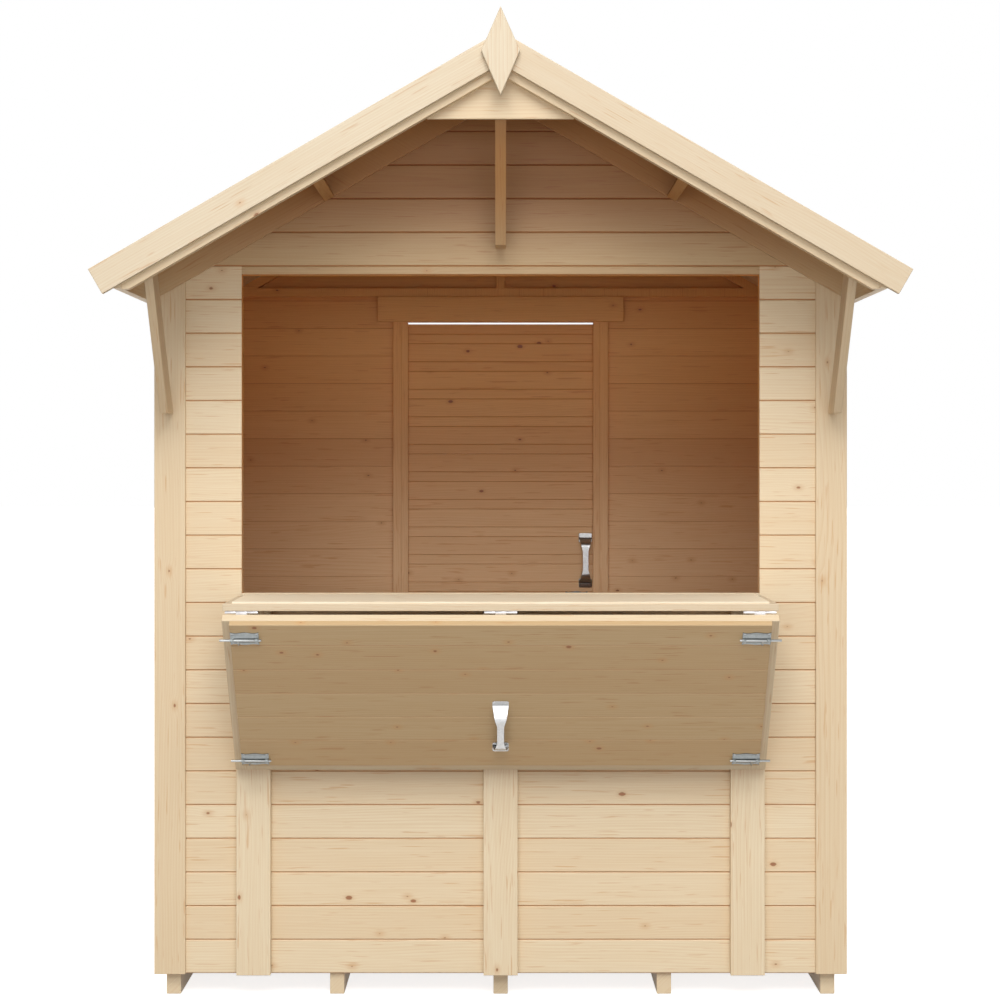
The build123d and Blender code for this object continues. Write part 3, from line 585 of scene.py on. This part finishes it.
class STALL_OT_cladding(Operator):
    """Horizontal boards on the four walls and both gables"""
    bl_idname = "stall.cladding"
    bl_label = "Wall cladding"

    def execute(self, context):
        def slope(v, d):
            half = np.clip(half_width_at(v, DECK_DROP), 0, HALF_W)
            return -half, half

        front, gable, back = [], [], []
        for _, low, high in joint_rows(CLAD_FOOT, under_ridge(0.0, DECK_DROP), CLAD_FOOT):
            grain = rng.uniform(0, GRAIN_SHIFT, 3)
            for a, b, ends in split_row(low, high, SILL, HEAD, OPENING, slope):
                rows = gable if a > HEAD - TOUCH else front
                rows.append(board((0, FRONT, 0), WIDE, UPRIGHT, (0, -1, 0), a, b, BOARD_T, ends,
                                  grain))
            grain = rng.uniform(0, GRAIN_SHIFT, 3)
            below = CLAD_FOOT - 1  # the doorway runs past the lowest row
            for a, b, ends in split_row(low, high, below, DOORWAY_HEAD, DOORWAY, slope):
                back.append(board((0, BACK, 0), WIDE, UPRIGHT, INWARD, a, b, BOARD_T, ends,
                                  grain))
        sticks_mesh("front_cladding", front, "Pine boards", "stall",
                    ("front_wall_left", "front_wall_right", "front_wall_below_counter"))
        sticks_mesh("front_gable_boards", gable, "Pine boards with painted shade under the canopy", "stall",
                    ("front_gable",))
        sticks_mesh("back_cladding", back, "Pine boards", "stall",
                    ("back_wall_left", "back_wall_right", "back_gable"))
        for node, side in (("left_wall", -1), ("right_wall", 1)):
            (_, y0, z0), (_, y1, _) = span(node)
            boards = [board((side * HALF_W, 0, 0), INWARD, UPRIGHT, (side, 0, 0), a, b, BOARD_T,
                            square_ends(y0, y1))
                      for _, a, b in joint_rows(z0, under_ridge(HALF_W, DECK_DROP), CLAD_FOOT)]
            sticks_mesh(f"{node}_boards", boards, "Pine boards", "stall", (node,))
        return {"FINISHED"}


# Felt and fixings

def felt_strip(side, head, foot, y0, y1, lift, number, rows=25, columns=41):
    """One strip of felt as a closed slab of points and faces. Its upper surface, over the run u
    down the slope and over y, is the slope raised by lift and by a ripple of the product of a
    sine along y and a sine down u; its lower surface is 2 mm beneath."""
    down, out = slope_axes(side)
    u, y = np.meshgrid(np.linspace(head, foot, rows), np.linspace(y0, y1, columns),
                       indexing="ij")
    ripple = 0.35 * MM * np.sin(y * 11 + number * 2) * np.sin((u - head) * 9 + number)
    top = (np.array([0, 0, RIDGE]) + u[..., None] * down + (lift + ripple)[..., None] * out
           + y[..., None] * np.array([0, 1.0, 0]))
    sheets = np.stack([top, top - 2 * MM * out]).reshape(-1, 3)
    cell = np.arange(rows * columns).reshape(rows, columns)
    quads = np.stack([cell[:-1, :-1], cell[1:, :-1], cell[1:, 1:], cell[:-1, 1:]],
                     -1).reshape(-1, 4)
    rim = np.concatenate([cell[0, :-1], cell[:-1, -1], cell[-1, :0:-1], cell[:0:-1, 0]])
    after = np.roll(rim, -1)
    edge = np.stack([rim, after, after + cell.size, rim + cell.size], 1)
    return sheets, quads.tolist() + (quads[:, ::-1] + cell.size).tolist() + edge.tolist()


def fixings(name, places, outs, radius, rise, cross, body, rings=6, spokes=24):
    """Domed heads of screws and nails. A head's height over its seat is rise times one less the
    square of the share of its radius, less the depth cross inside two crossed bars. All heads are
    one array: place, plus the two tangents times the polar grid, plus out times the height."""
    outs = np.broadcast_to(outs, places.shape)
    outs = outs / np.linalg.norm(outs, axis=1)[:, None]
    first = np.cross(outs, np.where(np.abs(outs[:, :1]) > FACING, (0, 1.0, 0), (1.0, 0, 0)))
    first = first / np.linalg.norm(first, axis=1)[:, None]
    second = np.cross(outs, first)
    share, turn = np.meshgrid(np.linspace(1, 0.12, rings), np.arange(spokes) * math.tau / spokes,
                              indexing="ij")
    a, b = share * np.cos(turn), share * np.sin(turn)
    crossed = (np.minimum(np.abs(a), np.abs(b)) < 0.13) & (share < 0.66)
    height = rise * (1.02 - share ** 2) - cross * crossed
    grid = (first[:, None] * a.ravel()[:, None] + second[:, None] * b.ravel()[:, None]) * radius
    points = places[:, None] + grid + outs[:, None] * height.ravel()[:, None]
    k, j = (part.ravel() for part in np.meshgrid(np.arange(rings - 1), np.arange(spokes),
                                                 indexing="ij"))
    after = (j + 1) % spokes
    side = np.stack([k * spokes + j, k * spokes + after, (k + 1) * spokes + after,
                     (k + 1) * spokes + j], 1)
    shift = np.arange(len(places)) * rings * spokes
    faces = (side[None] + shift[:, None, None]).reshape(-1, 4).tolist()
    crown = np.arange(spokes) + (rings - 1) * spokes
    faces += (crown[None] + shift[:, None]).tolist()
    faces += (np.arange(spokes)[::-1][None] + shift[:, None]).tolist()
    put_up(name, array_mesh(name, points.reshape(-1, 3), faces), "Zinc rod", body)


def islands(mesh):
    """Number of each point's connected piece: the lowest number among joined points is passed both
    ways along the edges until nothing changes."""
    a, b = read_values(mesh.edges, "vertices", 2, np.int32).T
    label = np.arange(len(mesh.vertices))
    while True:
        low = label.copy()
        np.minimum.at(low, a, label[b])
        np.minimum.at(low, b, label[a])
        if np.array_equal(low, label):
            return label
        label = low


def piece_corners(node, axes):
    """Lowest and highest corner of each separate solid of a CAD node, measured along axes."""
    work = bmesh.new()
    work.from_mesh(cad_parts[node].data)
    bmesh.ops.remove_doubles(work, verts=work.verts, dist=WELD)
    mesh = bpy.data.meshes.new("corners")
    work.to_mesh(mesh)
    work.free()
    place = read_values(mesh.vertices, "co", 3) @ axes.T
    label = islands(mesh)
    bpy.data.meshes.remove(mesh)
    return [(place[label == k].min(0), place[label == k].max(0)) for k in np.unique(label)]


class STALL_OT_roof(Operator):
    """Roof boards down both slopes, lapped felt, rafters, barge boards, fascias and purlins"""
    bl_idname = "stall.roof"
    bl_label = "Roof"

    def execute(self, context):
        y0, y1 = span("roof_left")[0][1], span("roof_left")[1][1]
        run_end = span("barge_front_right")[1][0] / math.cos(PITCH) - 6 * MM
        for side, node in ((-1, "roof_left"), (1, "roof_right")):
            down, out = slope_axes(side)
            start = np.array([0, 0, RIDGE]) - out * DECK_DROP
            boards = [board(start, down, INWARD, -out, a, b, BOARD_T,
                            lambda v, d: ((DECK_DROP - d) * SLOPE, 0 * v + run_end))
                      for _, a, b in joint_rows(y0, y1, y0)]
            sticks_mesh(f"{node}_boards", boards, "Pine boards", "stall", (node,))
        for side, way in (("left", DOWN_LEFT), ("right", DOWN_RIGHT)):
            for node, finish in ((f"front_rafter_{side}", "Pine timber"),
                                 (f"barge_front_{side}", "Pine pale timber"),
                                 (f"barge_back_{side}", "Pine pale timber")):
                eased_copy(f"{node}_timber", node, finish, (way,))
        eased_copy("purlin_timbers", "purlins", "Pine timber with painted shade under the roof", (INWARD,))
        eased_copy("fascia_boards", "fascias", "Pine timber", (INWARD,))
        eased_copy("finial_diamond", "finial", "Pine pale timber", (UPRIGHT,), width=2.5 * MM)
        eased_copy("gusset_plate", "apex_gusset", "Pine timber")
        ways = (leaning(BRACE_LEAN),)
        eased_copy("brace_timbers", "braces", "Pine shaded timber", ways, width=2 * MM)
        eased_copy("strut_timber", "gable_strut", "Pine timber with painted shade under the roof", ways)
        self.felt(run_end)
        return {"FINISHED"}

    def felt(self, run_end):
        """Two lapped strips of felt up each slope and a ridge cap, held by clout nails."""
        y0, y1 = span("roof_felt")[0][1], span("roof_felt")[1][1]
        rows = np.arange(y0 + 50 * MM, y1 - 30 * MM, 95 * MM)
        strips, nails, outs = [], [], []
        for side in (-1, 1):
            down, out = slope_axes(side)
            courses = ((0.52, run_end, -1.0 * MM), (0.0, 0.60, 0.8 * MM), (0.0, 0.16, 2.6 * MM))
            for number, (head, foot, lift) in enumerate(courses):
                strips.append(felt_strip(side, head, foot, y0, y1, lift, number))
                place = np.array([0, 0, RIDGE]) + (foot - 22 * MM) * down + lift * out
                nails.append(place + rows[:, None] * np.array([0, 1.0, 0]))
                outs.append(np.tile(out, (len(rows), 1)))
        points = np.concatenate([points for points, _ in strips])
        count = len(strips[0][0])
        faces = [[corner + k * count for corner in face]
                 for k, (_, faces) in enumerate(strips) for face in faces]
        mesh = array_mesh("roof_felt_strips", points, faces)
        square_up(mesh)
        put_up("roof_felt_strips", mesh, "Mineral felt", "stall", ("roof_felt",))
        fixings("clout_nails", np.concatenate(nails), np.concatenate(outs), 5 * MM, 1.3 * MM,
                0.0, "stall")


class STALL_OT_trims(Operator):
    """Corner boards, rake trims, counter posts, sill and the wall frames inside"""
    bl_idname = "stall.trims"
    bl_label = "Trims and frames"

    def execute(self, context):
        slopes = (DOWN_RIGHT, UP_RIGHT)
        outline = (UPRIGHT, WIDE) + slopes
        for name, node, finish, ways in (
                ("corner_boards", "corner_trims", "Pine timber", (UPRIGHT,)),
                ("rake_boards", "rake_trims", "Pine timber with painted shade under the roof", slopes),
                ("counter_post_boards", "counter_posts", "Pine timber", (UPRIGHT,)),
                ("sill_board", "serving_sill", "Pine timber", (WIDE,)),
                ("joist_timbers", "floor_joists", "Pine timber", (INWARD,)),
                ("front_frame_timbers", "front_frame", "Pine inner timber", outline),
                ("back_frame_timbers", "back_frame", "Pine inner timber", outline),
                ("side_frame_left_timbers", "side_frame_left", "Pine inner timber",
                 (UPRIGHT, INWARD)),
                ("side_frame_right_timbers", "side_frame_right", "Pine inner timber",
                 (UPRIGHT, INWARD))):
            eased_copy(name, node, finish, ways)
        low, high = span("floor_deck")
        boards = [board((0, 0, high[2]), WIDE, INWARD, UPRIGHT, a, b, high[2] - low[2],
                        square_ends(low[0], high[0]))
                  for _, a, b in joint_rows(low[1], high[1], low[1])]
        sticks_mesh("floor_boards", boards, "Pine boards", "stall", ("floor_deck",))
        return {"FINISHED"}


class STALL_OT_door(Operator):
    """Back door: boards with a mock joint, outer trims, lining, header and architrave"""
    bl_idname = "stall.door"
    bl_label = "Back door"

    def execute(self, context):
        low, high = span("door_boards")
        cover = context.scene.timber_sizes.cover
        narrow = 31.2 * MM  # face beside a board's mock joint
        joint = 1700.4 * MM - 18 * cover  # height of a joint near the door's foot
        boards = []
        for base, foot, head in joint_rows(low[2], high[2], joint):
            grain = rng.uniform(0, GRAIN_SHIFT, 3)
            for a, b in ((base, base + narrow), (base + narrow, base + cover)):
                a, b = max(a, foot), min(b, head)
                if b - a < 4 * MM:
                    continue
                boards.append(stick((0, low[1], 0), WIDE, UPRIGHT, (0, -1, 0), b - a,
                                    high[1] - low[1], a, 1.4 * MM, 0.6 * MM,
                                    square_ends(low[0], high[0]), grain, faces_room=True))
        sticks_mesh("door_leaf_boards", boards, "Pine door boards", "door", ("door_boards",))
        low, high = span("door_trims")
        rail = 70 * MM
        cuts = cuts_along(UPRIGHT, (low[2] + rail, high[2] - rail, (low[2] + high[2] - rail) / 2,
                                    (low[2] + high[2] + rail) / 2))
        cuts += cuts_along(WIDE, (low[0] + rail, high[0] - rail))
        ways = (UPRIGHT, WIDE)
        eased_copy("door_outer_trims", "door_trims", "Pine timber", ways, "door", cuts=cuts)
        top = cuts_along(UPRIGHT, (DOORWAY_HEAD - BOARD_T,))
        eased_copy("door_lining_boards", "door_lining", "Pine inner timber", ways, cuts=top)
        eased_copy("door_header_board", "door_header", "Pine inner timber")
        eased_copy("architrave_boards", "door_architrave", "Pine timber", ways, cuts=top)
        return {"FINISHED"}


class STALL_OT_hatch(Operator):
    """Serving counter and the flap that hangs from its front edge"""
    bl_idname = "stall.hatch"
    bl_label = "Counter and flap"

    def execute(self, context):
        rail = 60 * MM
        low, high = span("counter_frame")
        eased_copy("counter_rails", "counter_frame", "Pine pale timber", (WIDE, INWARD),
                   "counter", cuts=cuts_along(WIDE, (low[0] + rail, high[0] - rail)))
        low, high = span("counter_boards")
        boards = planks((0, 0, high[2]), INWARD, UPRIGHT, np.linspace(low[1], high[1], 5),
                        high[2] - low[2], 1.6 * MM, 0.7 * MM, square_ends(low[0], high[0]))
        sticks_mesh("counter_top_boards", boards, "Pine counter boards", "counter",
                    ("counter_boards",))

        up = np.array(leaning(FLAP_LEAN))
        low, high = span("flap_frame")
        # Painted shade on the flap frame's side and lower faces
        eased_copy("flap_rails", "flap_frame", "Pine flap timber", (WIDE, tuple(up)), "flap",
                   cuts=cuts_along(WIDE, (low[0] + rail, high[0] - rail)),
                   darker=(WIDE, (-1, 0, 0), tuple(-up)))
        low, high = span("flap_boards")
        out = np.array([0, -math.cos(FLAP_LEAN), -math.sin(FLAP_LEAN)])
        thick, lowest, cover = 16 * MM, 93 * MM, 81.6 * MM
        reach = (high[2] - low[2]) / math.cos(FLAP_LEAN) - thick * math.tan(FLAP_LEAN)
        foot = np.array([0, high[1], low[2] + thick * math.sin(FLAP_LEAN)]) + out * thick
        edges = [0.0, lowest]
        while edges[-1] + cover < reach - 20 * MM:
            edges.append(edges[-1] + cover)
        edges.append(reach)
        boards = planks(foot, up, out, edges, thick, 1.5 * MM, 0.6 * MM,
                        square_ends(low[0], high[0]))
        sticks_mesh("flap_face_boards", boards, "Pine flap boards", "flap", ("flap_boards",))
        return {"FINISHED"}


# Axes of the faces that hold screws, as rows: wide, tall, and out of the face
FLAP_FACE = np.array([WIDE, leaning(FLAP_LEAN),
                      (0, -math.cos(FLAP_LEAN), -math.sin(FLAP_LEAN))], float)
BACK_FACE = np.array([WIDE, UPRIGHT, INWARD], float)
ROOM_FACE = np.array([WIDE, UPRIGHT, (0, -1, 0)], float)


class STALL_OT_hardware(Operator):
    """Zinc hinges, barrel bolts and pull handles"""
    bl_idname = "stall.hardware"
    bl_label = "Hardware"

    def execute(self, context):
        edge = 0.3 * MM  # round on an edge of the sheet
        for node, body, finish in (("door_hinge_plates", "stall", "Zinc sheet"),
                                   ("sill_hinges_wall_side", "stall", "Zinc sheet"),
                                   ("door_hinge_straps", "door", "Zinc sheet"),
                                   ("door_pull_handle", "door", "Pull zinc"),
                                   ("door_bolt_plate", "door", "Zinc sheet"),
                                   ("door_bolt_rod", "door_bolt", "Zinc sheet"),
                                   ("flap_hinges_counter_side", "counter", "Bright zinc"),
                                   ("sill_hinges_counter_side", "counter", "Zinc sheet"),
                                   ("hatch_bolt_plates", "flap", "Zinc sheet"),
                                   ("flap_pull_handle", "flap", "Pull zinc"),
                                   ("flap_hinges_flap_side", "flap", "Bright zinc")):
            eased_copy(f"{node}_zinc", node, finish, body=body, width=edge,
                       segments=1)
        for row in ("upper", "lower"):
            for side in ("left", "right"):
                eased_copy(f"bolt_{row}_{side}_zinc", f"bolt_rod_{row}_{side}", "Zinc rod",
                           body=f"bolt_{row}_{side}", width=edge, segments=1)
        self.corner_screws("hatch_bolt_screws", "hatch_bolt_plates", FLAP_FACE, "flap")
        self.corner_screws("door_bolt_screws", "door_bolt_plate", ROOM_FACE, "door")
        self.row_screws("strap_screws", "door_hinge_straps", "door", (0.16, 0.42, 0.68, 0.93))
        self.row_screws("plate_screws", "door_hinge_plates", "stall", (0.14, 0.5, 0.86))
        return {"FINISHED"}

    def corner_screws(self, name, node, axes, body, inset=6 * MM, thick=2 * MM):
        """Cross-slotted screws in the four corners of each plate of a node."""
        places = []
        for low, high in piece_corners(node, axes):
            a, b = np.meshgrid((low[0] + inset, high[0] - inset),
                               (low[1] + inset, high[1] - inset))
            seat = np.full(a.size, low[2] + thick)
            places.append(np.stack([a.ravel(), b.ravel(), seat], 1) @ axes)
        fixings(name, np.concatenate(places), axes[2], 3.2 * MM, 1.1 * MM, 0.7 * MM, body)

    def row_screws(self, name, node, body, shares, thick=3 * MM):
        """Cross-slotted screws down the middle of each hinge leaf, at shares of its length."""
        share = np.array(shares)
        places = []
        for low, high in piece_corners(node, BACK_FACE):
            size = high - low
            wide = size[0] > size[1]
            x = low[0] + (share if wide else 0 * share + 0.5) * size[0]
            z = low[1] + (0 * share + 0.5 if wide else share) * size[1]
            places.append(np.stack([x, z, 0 * share + low[2] + thick], 1) @ BACK_FACE)
        fixings(name, np.concatenate(places), BACK_FACE[2], 4.0 * MM, 1.3 * MM, 0.8 * MM, body)


# Finishes: what differs from the plain board of pine(), and zinc's colour, roughness and flecks
PLAIN = {"knots": 0.30, "joint": 0.0, "inside": 0.0}
PINES = {
    # Plain boards take painted shade on their hidden sides
    "Pine boards": {},
    # Painted shade: the gable boards under the canopy darken towards the ridge
    "Pine boards with painted shade under the canopy": {"tint": (0.76, 0.67, 0.53), "inside": 1.0, "low": 1.90,
                              "high": 2.14, "least": 0.20, "depth": 0.46},
    "Pine timber": {**PLAIN, "tint": (0.97, 0.97, 0.97)},
    "Pine pale timber": {**PLAIN, "tint": (0.84, 0.87, 0.93)},
    # Painted light: the upward-facing counter top is made paler and brighter
    "Pine counter boards": {"tint": (1.08, 1.16, 1.30), "knots": 0.25, "joint": 0.8,
                            "inside": 0.0},
    # Painted shade: the downward-facing flap boards are darker and warmer
    "Pine flap boards": {"tint": (0.70, 0.60, 0.46), "knots": 0.75, "joint": 0.9, "inside": 0.0},
    # Painted shade: the braces under the canopy are a little darker
    "Pine shaded timber": {**PLAIN, "tint": (0.86, 0.84, 0.82)},
    # Painted shade: the flap frame's side and lower faces take the inner tint
    "Pine flap timber": {**PLAIN, "tint": (0.88, 0.87, 0.86), "inside": None, "low": 0.0,
                         "high": 0.5, "least": 0.85, "depth": 0.76},
    # Painted shade: timbers under the roof darken towards the ridge
    "Pine timber with painted shade under the roof": {**PLAIN, "tint": (0.84, 0.78, 0.68), "inside": 1.0, "low": 1.80,
                              "high": 2.15, "least": 0.15, "depth": 0.50},
    # Painted shade on the frames inside the stall, darker higher up
    "Pine inner timber": {"joint": 0.0, "inside": 1.0},
    # Painted shade on the door's room side, darker higher up
    "Pine door boards": {"knots": 0.50, "joint": 0.7},
}
ZINCS = {
    "Zinc sheet": ((0.23, 0.245, 0.245), 0.34, 0.5),
    "Zinc rod": ((0.33, 0.34, 0.34), 0.30, 0.3),
    "Pull zinc": ((0.46, 0.465, 0.47), 0.30, 0.5),
    "Bright zinc": ((0.66, 0.66, 0.69), 0.32, 0.3),
}


class STALL_OT_finishes(Operator):
    """Pine, zinc and felt materials, made before the pieces that use them"""
    bl_idname = "stall.finishes"
    bl_label = "Finishes"

    def execute(self, context):
        grain_group()
        for name, values in PINES.items():
            pine(name, **values)
        for name, values in ZINCS.items():
            zinc(name, *values)
        felt("Mineral felt")
        return {"FINISHED"}


LAMPS = (  # name, place, size and share of the front light's power
    ("High front", (0.0, -5.6, 7.0), (5.0, 2.5), 0.72),
    ("Mid front", (0.0, -9.5, 6.2), (6.0, 2.5), 0.76),
    ("Level fill", (0.0, -9.5, 1.9), (6.0, 1.5), 0.38),
)


class STALL_OT_stage(Operator):
    """Pale floor, soft light from the front and above, and the camera"""
    bl_idname = "stall.stage"
    bl_label = "Stage"

    def execute(self, context):
        scene = context.scene
        scene.view_settings.view_transform = "Standard"
        self.floor(scene)
        self.sky(scene)
        self.lamps(scene)
        self.camera(scene)
        return {"FINISHED"}

    def floor(self, scene):
        """A wide level floor, white to the camera where nothing shades it."""
        half, level = 60.0, -0.5 * MM
        mesh = bpy.data.meshes.new("floor")
        mesh.from_pydata([(-half, -half, level), (half, -half, level), (half, half, level),
                          (-half, half, level)], [], [(0, 1, 2, 3)])
        floor = bpy.data.objects.new("floor", mesh)
        scene.collection.objects.link(floor)
        w = new_material("Floor")
        seen = w.seen()
        tone = w.mix(seen, (0.22, 0.21, 0.20, 1), (0.80, 0.80, 0.80, 1))
        shade = w.node("BsdfDiffuse", {"Color": tone}).outputs[0]
        bright = w.node("Emission", {"Color": (1, 1, 1, 1),
                                     "Strength": w.times(seen, 0.80)}).outputs[0]
        total = w.node("AddShader", {0: shade, 1: bright}).outputs[0]
        w.node("OutputMaterial", {"Surface": total})
        mesh.materials.append(bpy.data.materials["Floor"])

    def sky(self, scene):
        """White to the camera and to gloss; to diffuse rays brighter above than below."""
        values = scene.stall_stage
        world = bpy.data.worlds.new("Studio")
        scene.world = world
        world.use_nodes = True
        world.node_tree.nodes.clear()
        w = Wiring(world.node_tree)
        seen = w.seen()
        height = w.node("SeparateXYZ", {0: w.node("TexCoord").outputs["Generated"]}).outputs[2]
        light = w.plus(w.step(height, -0.15, 0.25, values.ground, values.sky),
                       w.step(height, 0.30, 0.95, 0.0, values.zenith))
        strength = w.plus(seen, w.times(w.less(1.0, seen), light))
        sky = w.node("Background", {"Color": (1, 1, 1, 1), "Strength": strength}).outputs[0]
        w.node("OutputWorld", {"Surface": sky})

    def lamps(self, scene):
        """Three wide soft lights before the stall: high up, half way up and a weak level one."""
        for name, place, size, share in LAMPS:
            data = bpy.data.lights.new(name, "AREA")
            data.shape, data.size, data.size_y = "RECTANGLE", size[0], size[1]
            data.energy = scene.stall_stage.key * share
            lamp = bpy.data.objects.new(name, data)
            scene.collection.objects.link(lamp)
            aim = np.array([0, -0.5, 1.2]) - place
            lamp.location = place
            lamp.rotation_euler = (math.atan2(math.hypot(aim[0], aim[1]), -aim[2]), 0, 0)

    def camera(self, scene):
        """Level camera before the stall, at the photograph's height and distance."""
        data = bpy.data.cameras.new("Camera")
        focal_px, centre_px, horizon_px, frame_px = 2325.1, 500.6, 458.0, 1000.0
        data.sensor_width = 36.0
        data.lens = focal_px / frame_px * data.sensor_width
        data.shift_x = (frame_px / 2 - centre_px) / frame_px
        data.shift_y = (horizon_px - frame_px / 2) / frame_px
        eye = bpy.data.objects.new("Camera", data)
        eye.location = (0, -6.655, 1.420)
        eye.rotation_euler = (math.pi / 2, 0, 0)
        scene.collection.objects.link(eye)
        scene.camera = eye


class STALL_PT_panel(Panel):
    bl_idname = "STALL_PT_panel"
    bl_label = "Market stall"
    bl_space_type = "VIEW_3D"
    bl_region_type = "UI"
    bl_category = "Stall"

    def draw(self, context):
        for name in GROUPS:
            group = getattr(context.scene, name)
            for key in group.__annotations__:
                self.layout.prop(group, key)
        for step in STEPS:
            self.layout.operator(step.bl_idname)


STEPS = (STALL_OT_finishes, STALL_OT_cladding, STALL_OT_roof, STALL_OT_trims, STALL_OT_door,
         STALL_OT_hatch, STALL_OT_hardware, STALL_OT_stage)
GROUPS = {"timber_sizes": TimberSizes, "timber_colours": TimberColours,
          "stall_stage": StageValues}


def register():
    for kind in (*GROUPS.values(), *STEPS, STALL_PT_panel):
        bpy.utils.register_class(kind)
    for name, kind in GROUPS.items():
        setattr(bpy.types.Scene, name, PointerProperty(type=kind))


def unregister():
    for name in GROUPS:
        delattr(bpy.types.Scene, name)
    for kind in reversed((*GROUPS.values(), *STEPS, STALL_PT_panel)):
        bpy.utils.unregister_class(kind)


def main():
    register()
    for step in STEPS:
        group, name = step.bl_idname.split(".")
        getattr(getattr(bpy.ops, group), name)()
    bpy.context.view_layer.update()


if __name__ == "__main__":
    main()
